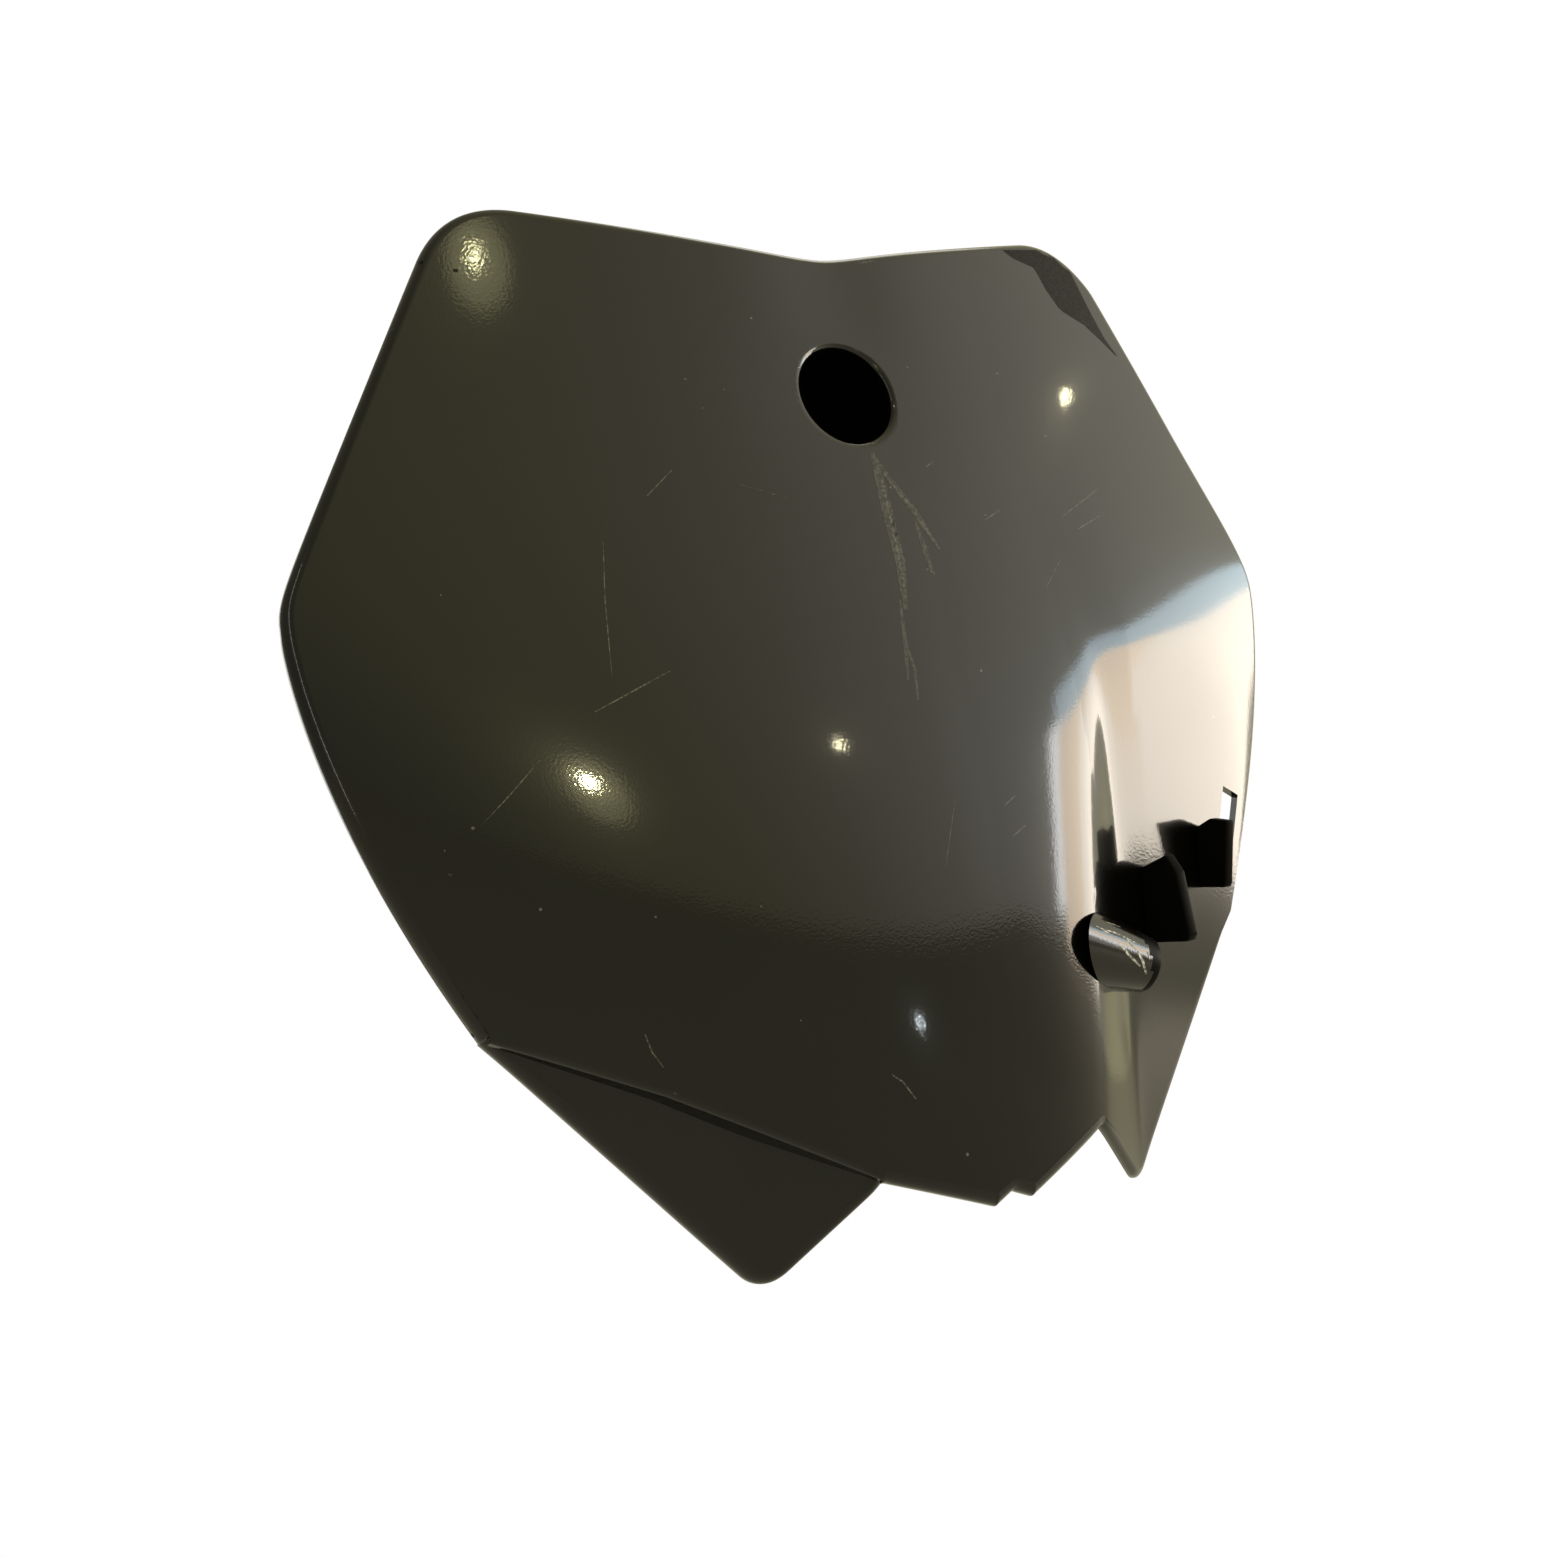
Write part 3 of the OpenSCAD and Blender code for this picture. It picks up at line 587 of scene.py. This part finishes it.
def combine(target, other, how):
    mod = target.modifiers.new("cut", "BOOLEAN")
    mod.operation = how
    mod.solver = "MANIFOLD"
    mod.object = other
    bpy.context.view_layer.update()
    dg = bpy.context.evaluated_depsgraph_get()
    me = bpy.data.meshes.new_from_object(target.evaluated_get(dg))
    target.modifiers.clear()
    old = target.data
    target.data = me
    bpy.data.meshes.remove(old)
    bpy.data.objects.remove(other)


verts, faces = B.build()
shell = mesh_object("number_board_shell", verts, faces)

# Mounting cup with its floor, bolt hole and rounded lip.
R = B.hole_d / 2
CUP_R, CUP_BACK, CUP_START = R + B.cup_wall, B.cup_depth + B.cup_wall, 0.9
cup = solid("cup", lathe([
    (0, CUP_START), (CUP_R, CUP_START), (CUP_R, CUP_BACK - 0.6), (CUP_R - 0.2, CUP_BACK - 0.2),
    (CUP_R - 0.6, CUP_BACK), (0, CUP_BACK)]))
lip_y = float(B.panel_y(R + B.lip_w, 0))
lip = [(R + B.lip_w * (1 - math.cos(math.radians(a))),
        lip_y + B.lip_depth - (B.lip_depth + 0.05) * math.sin(math.radians(a))) for a in range(90, -1, -9)]
bore = solid("bore", lathe([
    (0, -3), (R + B.lip_w, -3), *lip, (R, B.cup_depth - 0.8), (R - 0.25, B.cup_depth - 0.25),
    (R - 0.8, B.cup_depth), (B.bolt_d / 2, B.cup_depth), (B.bolt_d / 2, B.cup_depth + 5),
    (0, B.cup_depth + 5)]))


def trim(bm, slope_x, slope_z, offset):
    """Cut away what lies behind the plane y = slope_x x + slope_z z + offset, and close the cut."""
    n = Vector((-slope_x, 1, -slope_z)).normalized()
    geom = list(bm.verts) + list(bm.edges) + list(bm.faces)
    res = bmesh.ops.bisect_plane(bm, geom=geom, plane_co=(0, offset * MM, 0), plane_no=n,
                                 clear_outer=True, dist=1e-7)
    cut = [e for e in res["geom_cut"] if isinstance(e, bmesh.types.BMEdge)]
    bmesh.ops.holes_fill(bm, edges=cut)


# Curved tongue of the hose guide: a tapered pipe wall with rounded free edges.
edge = unit(TONGUE_EDGE)
front = unit(np.array([0, -1, 0]) + edge[1] * edge)
half = math.atan((TONGUE_ROOT_R - B.tongue_r) / TONGUE_LEN)
along = edge * math.cos(half) + np.cross(front, edge) * math.sin(half)
up = np.cross(front, along)


def tongue_ring(s):
    """Cross-section of the tongue wall at s from its free end, counter-clockwise."""
    r = B.tongue_r + (TONGUE_ROOT_R - B.tongue_r) * s / TONGUE_LEN
    shrink = max(0.0, TONGUE_ROUND - s)
    shrink = TONGUE_ROUND - math.sqrt(max(0.0, TONGUE_ROUND ** 2 - shrink * shrink))
    ro, ri = r - shrink, r - B.tongue_wall + shrink
    mid, hw = 0.5 * (ro + ri), 0.5 * (ro - ri)
    turns = np.radians(np.linspace(TONGUE_FROM, TONGUE_TO, 46))
    pts = [(ro * math.cos(a), ro * math.sin(a)) for a in turns]
    for a0, turn in ((TONGUE_TO, 1), (TONGUE_FROM, -1)):
        a0 = math.radians(a0)
        o = np.array([math.cos(a0), math.sin(a0)])
        t = turn * np.array([-math.sin(a0), math.cos(a0)])
        cap = [o * (mid + turn * hw * math.cos(b)) + t * 0.8 * hw * (math.sin(b) - 1)
               for b in np.radians(np.linspace(20, 160, 7))]
        pts += [tuple(c) for c in cap]
        if turn > 0:
            pts += [(ri * math.cos(a), ri * math.sin(a)) for a in turns[::-1]]
    return [TONGUE_END + up * a + front * b - along * s for a, b in pts]


bm = bmesh.new()
rings = [[bm.verts.new(metres(p)) for p in tongue_ring(s)]
         for s in [0.0, 0.05, 0.15, 0.3, 0.5, 0.8] + list(np.linspace(2, TONGUE_LEN, 24))]
for a, b in zip(rings, rings[1:]):
    for k in range(len(a)):
        q = (k + 1) % len(a)
        bm.faces.new((a[k], a[q], b[q], b[k]))
bm.faces.new(rings[0])
bm.faces.new(rings[-1][::-1])
bmesh.ops.recalc_face_normals(bm, faces=bm.faces)
trim(bm, B.wing_sx, B.wing_sz, B.wing_y + SINK - B.wing_sx * B.crease_x - B.wing_sz * B.crease_z)
trim(bm, B.inner_sx, B.wing_sz, B.inner_y + SINK - B.inner_sx * B.foot_x - B.wing_sz * B.foot_z)
tongue = solid("tongue", bm)


def finger(name, x, z_top, length, h, h_low, peak, drop, w):
    """Upright finger of thickness w; h and h_low are its heights above the wing at the top and below."""
    yt, yl, z_low = float(B.wing(x, z_top)), float(B.wing(x, z_top - length)), z_top - length
    prof = [(yt + 1.2, z_top), (yt - peak, z_top + 0.08 * length), (yt - h, z_top - drop),
            (yl - h_low, z_low - 0.03 * length), (yl - 0.9 * h_low, z_low - 0.11 * length),
            (yl + 1.2, z_low)]
    bm = prism(prof, w, lambda a, b, t: (x + t, a, b))
    bmesh.ops.recalc_face_normals(bm, faces=bm.faces)
    bmesh.ops.bevel(bm, geom=list(bm.edges), offset=0.45 * MM, segments=3, profile=0.5, affect="EDGES",
                    clamp_overlap=True)
    return solid(name, bm)


fingers = [finger(name, **sizes) for name, sizes in FINGERS.items()]

tilt, hx, hz = math.radians(WINDOW_TILT), B.window_w / 2, B.window_len / 2
window = solid("window", prism(
    [(-hx, -hz), (hx, -hz), (hx, hz), (-hx, hz)], 30,
    lambda a, b, t: (WINDOW_X + a * math.cos(tilt) + b * math.sin(tilt), 5 + t,
                     WINDOW_Z - a * math.sin(tilt) + b * math.cos(tilt))))

for part in (cup, tongue, *fingers):
    combine(shell, part, "UNION")
for part in (bore, window):
    combine(shell, part, "DIFFERENCE")


def keep_inside(verts):
    """Move vertices that stand past the box of the CAD model onto it."""
    for v in verts:
        v.co = [min(max(v.co[k], cad_box[0][k]), cad_box[1][k]) for k in range(3)]


def column(items, name, width=1, kind=float):
    """One property of all items as an array."""
    a = np.empty(len(items) * width, kind)
    items.foreach_get(name, a)
    return a if width == 1 else a.reshape(-1, width)


keep_inside(shell.data.vertices)

# Smooth shading: true surface normals on the big faces, sharp edges elsewhere.
me = shell.data
me.polygons.foreach_set("use_smooth", [True] * len(me.polygons))
me.set_sharp_from_angle(angle=math.radians(32))
me.update()
x, y, z = (column(me.vertices, "co", 3) / MM).T
normals = column(me.corner_normals, "vector", 3)
loop_vert = column(me.loops, "vertex_index", kind=int)
loop_face = np.repeat(np.arange(len(me.polygons)), column(me.polygons, "loop_total", kind=int))
face_normals = column(me.polygons, "normal", 3)[loop_face]
ON_SURFACE, ALONG = 1e-3, 0.94        # distance in millimetres, cosine between face and surface
for kind in (0, 1):
    gx, gz = B.slopes(kind, x, z)
    nrm = np.c_[gx, -np.ones(len(gx)), gz]
    nrm = (nrm / np.linalg.norm(nrm, axis=1)[:, None])[loop_vert]
    on = np.abs(y - B.depth(kind, x, z)) < ON_SURFACE
    pick = on[loop_vert] & ((nrm * face_normals).sum(1) > ALONG)
    normals[pick] = nrm[pick]
me.normals_split_custom_set(normals.tolist())
me.update()

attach(shell, "root")
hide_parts("number_board")


# Scratches, scuffs and dark specks: thin strips that lie on the front face at listed points of the
# photograph; a patch at the top right corner is a painted dark reflection.
bpy.context.view_layer.update()
TREE = BVHTree.FromObject(shell, bpy.context.evaluated_depsgraph_get())


def seen_at(u, v):
    """Place on the board that the photograph shows at u, v, with its normal and mirror direction."""
    d = unit((u - HALF) / FOCAL * RIGHT + (v - HALF) / FOCAL * DOWN + AHEAD)
    p, n, _, _ = TREE.ray_cast(Vector(metres(CAM)), Vector([float(c) for c in d]))
    if p is None:
        return None
    p, n = np.array(p) / MM, np.array(n)
    n = n if n @ d < 0 else -n
    return p, n, d - 2 * (d @ n) * n


STRIP_STEP = 9              # length of one piece of a strip, in pixels of the photograph


def strip(bm, points, width, slot, lift):
    """Tapered strip along image points, laid on the face."""
    places = []
    for (u0, v0), (u1, v1) in zip(points, points[1:]):
        n = max(2, int(math.hypot(u1 - u0, v1 - v0) / STRIP_STEP))
        places += [seen_at(mix(u0, u1, k / n), mix(v0, v1, k / n)) for k in range(n)]
    places.append(seen_at(*points[-1]))
    places = [p for p in places if p is not None]
    rows = []
    for k, (p, n, _) in enumerate(places):
        q = places[min(k + 1, len(places) - 1)][0] - places[max(k - 1, 0)][0]
        side = unit(np.cross(n, q))
        w = 0.5 * width * (0.35 + 0.65 * math.sin(math.pi * (k + 0.4) / (len(places) - 0.2)))
        rows.append([bm.verts.new(metres(p + n * lift + side * w * s)) for s in (-1, 1)])
    for r0, r1 in zip(rows, rows[1:]):
        f = bm.faces.new((r0[0], r1[0], r1[1], r0[1]))
        f.material_index = slot


def patch(bm, left, right, slot, lift=0.025):
    """Patch between two edges given as image points of equal rows, laid on the face in small quads."""
    rows, n_down, n_across = [], 24, 8
    for k in range(n_down + 1):
        v = mix(left[0][1], left[-1][1], k / n_down)
        u0, u1 = (np.interp(v, [q[1] for q in e], [q[0] for q in e]) for e in (left, right))
        row = [seen_at(mix(u0, u1, j / n_across), v) for j in range(n_across + 1)]
        rows.append([p and bm.verts.new(metres(p[0] + p[1] * lift)) for p in row])
    for r0, r1 in zip(rows, rows[1:]):
        for j in range(n_across):
            q = (r0[j], r0[j + 1], r1[j + 1], r1[j])
            if None not in q:
                bm.faces.new(q).material_index = slot


# Material slots of the marks; slot 0 is the plain plastic.
# The second mark slot holds small dark specks and also the painted dark reflection at the top right corner.
SCUFFED, STAINED_AND_DARK_REFLECTION, SMEARED, WHITENED = range(1, 5)

# Lines of image points and their widths in millimetres.
SCRATCHES = [
    ([(603, 540), (605, 600), (612, 677)], 0.35), ([(595, 712), (670, 671)], 0.4),
    ([(482, 825), (510, 795), (540, 760)], 0.35), ([(647, 496), (672, 470)], 0.35),
    ([(741, 485), (787, 498)], 0.3), ([(926, 467), (935, 460)], 0.4), ([(1078, 529), (1101, 515)], 0.4),
    ([(1062, 517), (1099, 488)], 0.3), ([(945, 870), (955, 800)], 0.3), ([(1045, 590), (1060, 560)], 0.3),
    ([(985, 520), (1000, 510)], 0.3), ([(1004, 806), (1016, 795)], 0.35), ([(1013, 836), (1027, 824)], 0.3),
    ([(880, 471), (893, 530), (905, 592)], 0.75), ([(870, 458), (912, 508), (937, 546)], 0.5),
    ([(645, 1034), (652, 1052), (664, 1068)], 0.4), ([(891, 1074), (903, 1082), (916, 1099)], 0.5),
    ([(926, 569), (934, 573)], 0.9), ([(923, 545), (929, 548)], 0.8), ([(684, 379), (687, 380)], 0.6),
    ([(702, 408), (705, 409)], 0.6), ([(906, 367), (909, 368)], 0.6), ([(996, 373), (999, 374)], 0.6),
    ([(971, 332), (974, 333)], 0.6), ([(984, 515), (987, 516)], 0.6), ([(448, 874), (452, 875)], 0.7),
    ([(673, 1093), (677, 1094)], 0.7)]
TONGUE = [([(1100, 928), (1118, 934), (1138, 944)], 0.4), ([(1120, 944), (1128, 954), (1140, 966)], 0.6),
          ([(1137, 950), (1143, 962), (1146, 974)], 0.7), ([(1106, 922), (1120, 927)], 0.35),
          ([(1126, 938), (1136, 950)], 0.5), ([(1096, 926), (1110, 934)], 0.35),
          ([(1146, 948), (1150, 960)], 0.4)]
SMEARS = [([(872, 452), (884, 500), (900, 560), (906, 610)], 2.6),
          ([(866, 446), (890, 480), (915, 512), (940, 550)], 1.6),
          ([(880, 470), (892, 520), (903, 585)], 1.5), ([(900, 600), (905, 640), (908, 680)], 1.0),
          ([(915, 520), (928, 560), (934, 575)], 1.2), ([(905, 640), (915, 670), (918, 700)], 0.7)]
DARK = [([(418, 262), (423, 263)], 0.9), ([(453, 270), (458, 271)], 0.8), ([(471, 1034), (474, 1037)], 0.9)]
# Edges of a patch of painted dark reflection at the top right corner, in image points.
DARK_REFLECTION_LEFT = [(1002, 250), (1012, 258), (1034, 268), (1046, 290),
              (1060, 310), (1084, 325), (1098, 338), (1116, 356)]
DARK_REFLECTION_RIGHT = [(1046, 250), (1060, 258), (1068, 268), (1079, 290),
               (1089, 310), (1097, 325), (1104, 338), (1117, 356)]
bm = bmesh.new()
for lines, thin, slot, lift in ((SCRATCHES, 0.6, SCUFFED, 0.03), (TONGUE, 1, WHITENED, 0.04),
                                (SMEARS, 1, SMEARED, 0.02), (DARK, 1, STAINED_AND_DARK_REFLECTION, 0.03)):
    for pts, w in lines:
        strip(bm, pts, thin * w, slot, lift)
# Lay the painted dark reflection at the top right corner.
patch(bm, DARK_REFLECTION_LEFT, DARK_REFLECTION_RIGHT, STAINED_AND_DARK_REFLECTION)
keep_inside(bm.verts)
marks_ob = from_bmesh("number_board_marks", bm)
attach(marks_ob, "root")


# Materials: glossy black moulded plastic, its scuffed and dark marks (the dark one also paints a dark
# reflection), and the bore, painted black without reflection as painted shade inside the hole.
def emptied(owner):
    """Node tree of a material or world, with nothing in it."""
    owner.use_nodes = True
    owner.node_tree.nodes.clear()
    return owner.node_tree


def nodes_of(mat):
    nt = emptied(mat)
    out = nt.nodes.new("ShaderNodeOutputMaterial")
    bs = nt.nodes.new("ShaderNodeBsdfPrincipled")
    nt.links.new(bs.outputs[0], out.inputs[0])
    bs.inputs["IOR"].default_value = IOR
    return nt, bs


def noise_at(nt, tc, scale, detail):
    n = nt.nodes.new("ShaderNodeTexNoise")
    n.inputs["Scale"].default_value = scale
    n.inputs["Detail"].default_value = detail
    nt.links.new(tc.outputs["Object"], n.inputs["Vector"])
    return n


def ranged(nt, source, lo, hi, to_lo, to_hi):
    r = nt.nodes.new("ShaderNodeMapRange")
    for name, val in zip(("From Min", "From Max", "To Min", "To Max"), (lo, hi, to_lo, to_hi)):
        r.inputs[name].default_value = val
    nt.links.new(source, r.inputs["Value"])
    return r.outputs[0]


def blend(nt, fac, a, b):
    m = nt.nodes.new("ShaderNodeMix")
    m.data_type = "RGBA"
    for sock, val in ((m.inputs[6], a), (m.inputs[7], b)):
        if isinstance(val, tuple):
            sock.default_value = val
        else:
            nt.links.new(val, sock)
    nt.links.new(fac, m.inputs[0])
    return m.outputs[2]


def plastic(name, low, high, rough, spec, specks=True):
    """Moulded plastic with a fine grain; with specks it also has a gloss coat and dust."""
    mat = bpy.data.materials.new(name)
    nt, bs = nodes_of(mat)
    bs.inputs["Specular IOR Level"].default_value = spec
    if specks:
        bs.inputs["Coat Weight"].default_value = COAT
        bs.inputs["Coat Roughness"].default_value = COAT_ROUGH
        bs.inputs["Coat IOR"].default_value = IOR
    tc = nt.nodes.new("ShaderNodeTexCoord")
    big = noise_at(nt, tc, 22, 4)
    fine = noise_at(nt, tc, 1800, 2)
    bump = nt.nodes.new("ShaderNodeBump")
    bump.inputs["Strength"].default_value = GRAIN
    bump.inputs["Distance"].default_value = GRAIN_DEPTH
    nt.links.new(fine.outputs["Fac"], bump.inputs["Height"])
    nt.links.new(bump.outputs[0], bs.inputs["Normal"])
    nt.links.new(bump.outputs[0], bs.inputs["Coat Normal"])
    colour = blend(nt, big.outputs["Fac"], low, high)
    roughness = ranged(nt, big.outputs["Fac"], 0.3, 0.7, rough[0], rough[1])
    if specks:
        dust = nt.nodes.new("ShaderNodeTexVoronoi")
        dust.inputs["Scale"].default_value = 210
        nt.links.new(tc.outputs["Object"], dust.inputs["Vector"])
        cell = nt.nodes.new("ShaderNodeSeparateColor")
        nt.links.new(dust.outputs["Color"], cell.inputs[0])
        limit = ranged(nt, cell.outputs[0], 0.80, 1.0, 0.0, 0.075)
        less = nt.nodes.new("ShaderNodeMath")
        less.operation = "LESS_THAN"
        nt.links.new(dust.outputs["Distance"], less.inputs[0])
        nt.links.new(limit, less.inputs[1])
        colour = blend(nt, less.outputs[0], colour, DUST)
    nt.links.new(colour, bs.inputs["Base Color"])
    nt.links.new(roughness, bs.inputs["Roughness"])
    return mat


def scuff(name, low, high, rough, spec=0.5):
    """Dull plastic of two colours that a fine noise breaks up."""
    mat = bpy.data.materials.new(name)
    nt, bs = nodes_of(mat)
    tc = nt.nodes.new("ShaderNodeTexCoord")
    broken = noise_at(nt, tc, 1600, 3)
    share = ranged(nt, broken.outputs["Fac"], 0.42, 0.62, 0, 1)
    nt.links.new(blend(nt, share, low, high), bs.inputs["Base Color"])
    bs.inputs["Roughness"].default_value = rough
    bs.inputs["Specular IOR Level"].default_value = spec
    return mat


GLOSS = plastic("gloss_black_plastic", (0.0008, 0.0008, 0.0007, 1), (0.0026, 0.0025, 0.002, 1),
                (0.20, 0.27), 0.13)
SCUFF = scuff("scuffed_plastic", (0.015, 0.014, 0.012, 1), (0.13, 0.125, 0.105, 1), 0.4)
WHITE = scuff("white_scuff", (0.06, 0.06, 0.06, 1), (0.55, 0.54, 0.50, 1), 0.5)
SMEAR = scuff("smeared_plastic", (0.010, 0.010, 0.009, 1), (0.060, 0.058, 0.050, 1), 0.3)
# The dark mark material also paints the dark reflection at the top right corner.
MARK_AND_DARK_REFLECTION = scuff("dark_mark_and_painted_reflection", (0.002, 0.002, 0.002, 1), (0.012, 0.012, 0.011, 1), 0.4, 0.12)
# Black plastic without reflection for the bore: painted shade inside the hole.
BORE_PAINTED_SHADE = plastic("bore_painted_shade", (0.001, 0.001, 0.001, 1), (0.002, 0.002, 0.002, 1), (0.6, 0.7), 0.0, False)
WORN = plastic("worn_guide", (0.002, 0.002, 0.002, 1), (0.005, 0.005, 0.0047, 1), (0.30, 0.42), 0.04,
               False)


# Faces inside the bore and cup, which get the painted shade.
def in_bore(c):
    return 1.7 < c.y < CUP_BACK - 0.5 and math.hypot(c.x, c.z) < R + 0.4


def on_guide(c):
    """Whether c, in millimetres, is on the tongue or a finger, which stand out of the folded sheet."""
    return 44 < c.x < 90 and -137 < c.z < -95 and c.y < min(B.wing(c.x, c.z), B.inner(c.x, c.z)) - 0.8


shell.data.materials.clear()
for m in (GLOSS, BORE_PAINTED_SHADE, WORN):
    shell.data.materials.append(m)
for poly in shell.data.polygons:
    c = poly.center / MM
    if in_bore(c):
        poly.material_index = 1
    elif on_guide(c):
        poly.material_index = 2
for m in (GLOSS, SCUFF, MARK_AND_DARK_REFLECTION, SMEAR, WHITE):        # in the order of the marks' slots
    marks_ob.data.materials.append(m)
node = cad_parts["number_board"]
for slot in node.material_slots:
    slot.material = GLOSS

# Camera at the photograph's viewing place.
cam_data = bpy.data.cameras.new("camera")
cam = linked("camera", cam_data)
cam.matrix_world = Matrix([[float(v[k]) for v in (RIGHT, -DOWN, -AHEAD, CAM * MM)] for k in range(3)]
                          + [[0, 0, 0, 1]])
cam_data.sensor_width = SENSOR
cam_data.lens = FOCAL / (2 * HALF) * SENSOR
cam_data.clip_start = 0.01
bpy.context.scene.camera = cam


def camera_sees(nt, out, other, camera):
    """Give out the shader `camera` for the camera's own rays and `other` for the rest."""
    lp = nt.nodes.new("ShaderNodeLightPath")
    mx = nt.nodes.new("ShaderNodeMixShader")
    nt.links.new(lp.outputs["Is Camera Ray"], mx.inputs[0])
    nt.links.new(other.outputs[0], mx.inputs[1])
    nt.links.new(camera.outputs[0], mx.inputs[2])
    nt.links.new(mx.outputs[0], out.inputs[0])


# Floor: pale for the board, white for the camera.
fl = bpy.data.meshes.new("floor")
corners = [(sx * FLOOR_SIZE, sy * FLOOR_SIZE, FLOOR_Z) for sx, sy in ((-1, -1), (1, -1), (1, 1), (-1, 1))]
fl.from_pydata(corners, [], [(0, 1, 2, 3)])
floor = linked("floor", fl)
fm = bpy.data.materials.new("floor")
nt = emptied(fm)
out = nt.nodes.new("ShaderNodeOutputMaterial")
dif = nt.nodes.new("ShaderNodeBsdfDiffuse")
dif.inputs[0].default_value = FLOOR_COLOUR
emi = nt.nodes.new("ShaderNodeEmission")
emi.inputs[0].default_value = (1, 1, 1, 1)
camera_sees(nt, out, dif, emi)
fl.materials.append(fm)

# World: one gradient along SKY_AXIS, white for the camera.
world = bpy.data.worlds.new("studio")
bpy.context.scene.world = world
nt = emptied(world)
out = nt.nodes.new("ShaderNodeOutputWorld")
bg = nt.nodes.new("ShaderNodeBackground")
bg.inputs[1].default_value = SKY_LEVEL
tc = nt.nodes.new("ShaderNodeTexCoord")
dot = nt.nodes.new("ShaderNodeVectorMath")
dot.operation = "DOT_PRODUCT"
dot.inputs[1].default_value = SKY_AXIS
nt.links.new(tc.outputs["Generated"], dot.inputs[0])
ramp = nt.nodes.new("ShaderNodeValToRGB")
nt.links.new(ranged(nt, dot.outputs["Value"], -1.0, 1.0, 0.0, 1.0), ramp.inputs[0])
els = ramp.color_ramp.elements
els[0].position, els[1].position = SKY[0][0], SKY[-1][0]
for pos, _ in SKY[1:-1]:
    els.new(pos)
for el, (_, col) in zip(els, SKY):
    el.color = tuple(v / SKY_LEVEL for v in col) + (1,)
nt.links.new(ramp.outputs[0], bg.inputs[0])
white = nt.nodes.new("ShaderNodeBackground")
white.inputs[0].default_value = (1, 1, 1, 1)
white.inputs[1].default_value = 1.0
camera_sees(nt, out, bg, white)


def area(name, place, target, size, radiance, colour, size_y, shape="RECTANGLE"):
    """Lamp of a radiance and a size, hidden from the camera, that faces the target."""
    ld = bpy.data.lights.new(name, "AREA")
    ld.shape = shape
    ld.size = size
    ld.size_y = size_y
    ld.energy = radiance * math.pi * size * size_y * (math.pi / 4 if shape == "ELLIPSE" else 1)
    ld.color = colour
    ob = linked(name, ld)
    ob.location = place
    ob.rotation_euler = (Vector(target) - Vector(place)).to_track_quat("-Z", "Y").to_euler()
    ob.visible_camera = False


def band(name, az0, az1, el0, el1, radiance, colour):
    """Bright rectangle seen from the board's right half between two azimuths and elevations, in degrees."""
    centre, away = Vector((0.07, 0.0, -0.06)), 1.6
    az, el = math.radians(0.5 * (az0 + az1)), math.radians(0.5 * (el0 + el1))
    p = centre + away * Vector((math.cos(az) * math.cos(el), math.sin(az) * math.cos(el), math.sin(el)))
    area(name, p, centre, 2 * away * math.tan(math.radians(0.5 * (az1 - az0))), radiance, colour,
         2 * away * math.tan(math.radians(0.5 * (el1 - el0))))


# The bright window that the right half mirrors, in four panels.
band("window_white", -36.5, -33.5, -9, 8, 11, (0.95, 0.98, 1))
band("window_peach", -33.5, -22, -11, 8, 8.2, (1, 0.79, 0.58))
band("window_pale", -22, -4, -11, 8, 8.4, (1, 0.89, 0.77))
band("window_edge", -34, -4, 8, 12, 5.0, (0.62, 0.85, 1))

# Strips at the left and above draw the thin light line of the rolled edge; the third lamp fills the back.
area("left_strip", (-0.85, -0.40, 0.10), (-0.1, 0, -0.05), 0.05, 4, (1, 0.98, 0.90), 0.9)
area("back_fill", (-0.5, 1.6, 0.5), (0, 0, -0.06), 1.4, 1.6, (1, 0.99, 0.96), 1.4)
area("top_strip", (0.45, 0.12, 0.85), (0, 0, 0.03), 0.5, 2.0, (1, 0.97, 0.92), 0.25)

# Small lamps close by, each where its highlight mirrors it: image point, distance in millimetres,
# width and height in metres, radiance and colour.
for name, (u, v), away, size, size_y, radiance, colour in (
        ("spot_a", (475, 257), 150, 0.004, 0.003, 130, (1, 0.96, 0.55)),
        ("glow_a", (478, 264), 150, 0.024, 0.026, 2.0, (1, 0.96, 0.50)),
        ("spot_b", (588, 780), 150, 0.0036, 0.0036, 700, (1, 0.96, 0.55)),
        ("glow_b", (596, 792), 150, 0.026, 0.032, 1.3, (1, 0.95, 0.50)),
        ("spot_c", (840, 745), 120, 0.0016, 0.0036, 230, (1, 0.92, 0.60)),
        ("spot_d", (1065, 397), 100, 0.0018, 0.0036, 170, (1, 0.90, 0.55)),
        ("spot_e", (920, 1022), 80, 0.0014, 0.0016, 130, (0.85, 0.97, 1)),
        ("notch", (866, 262), 60, 0.0050, 0.0012, 16, (0.90, 1, 0.80))):
    p, n, r = seen_at(u, v)
    area(name, metres(p + r * away), metres(p), size, radiance, colour, size_y, "ELLIPSE")

bpy.context.scene.view_settings.view_transform = "Standard"
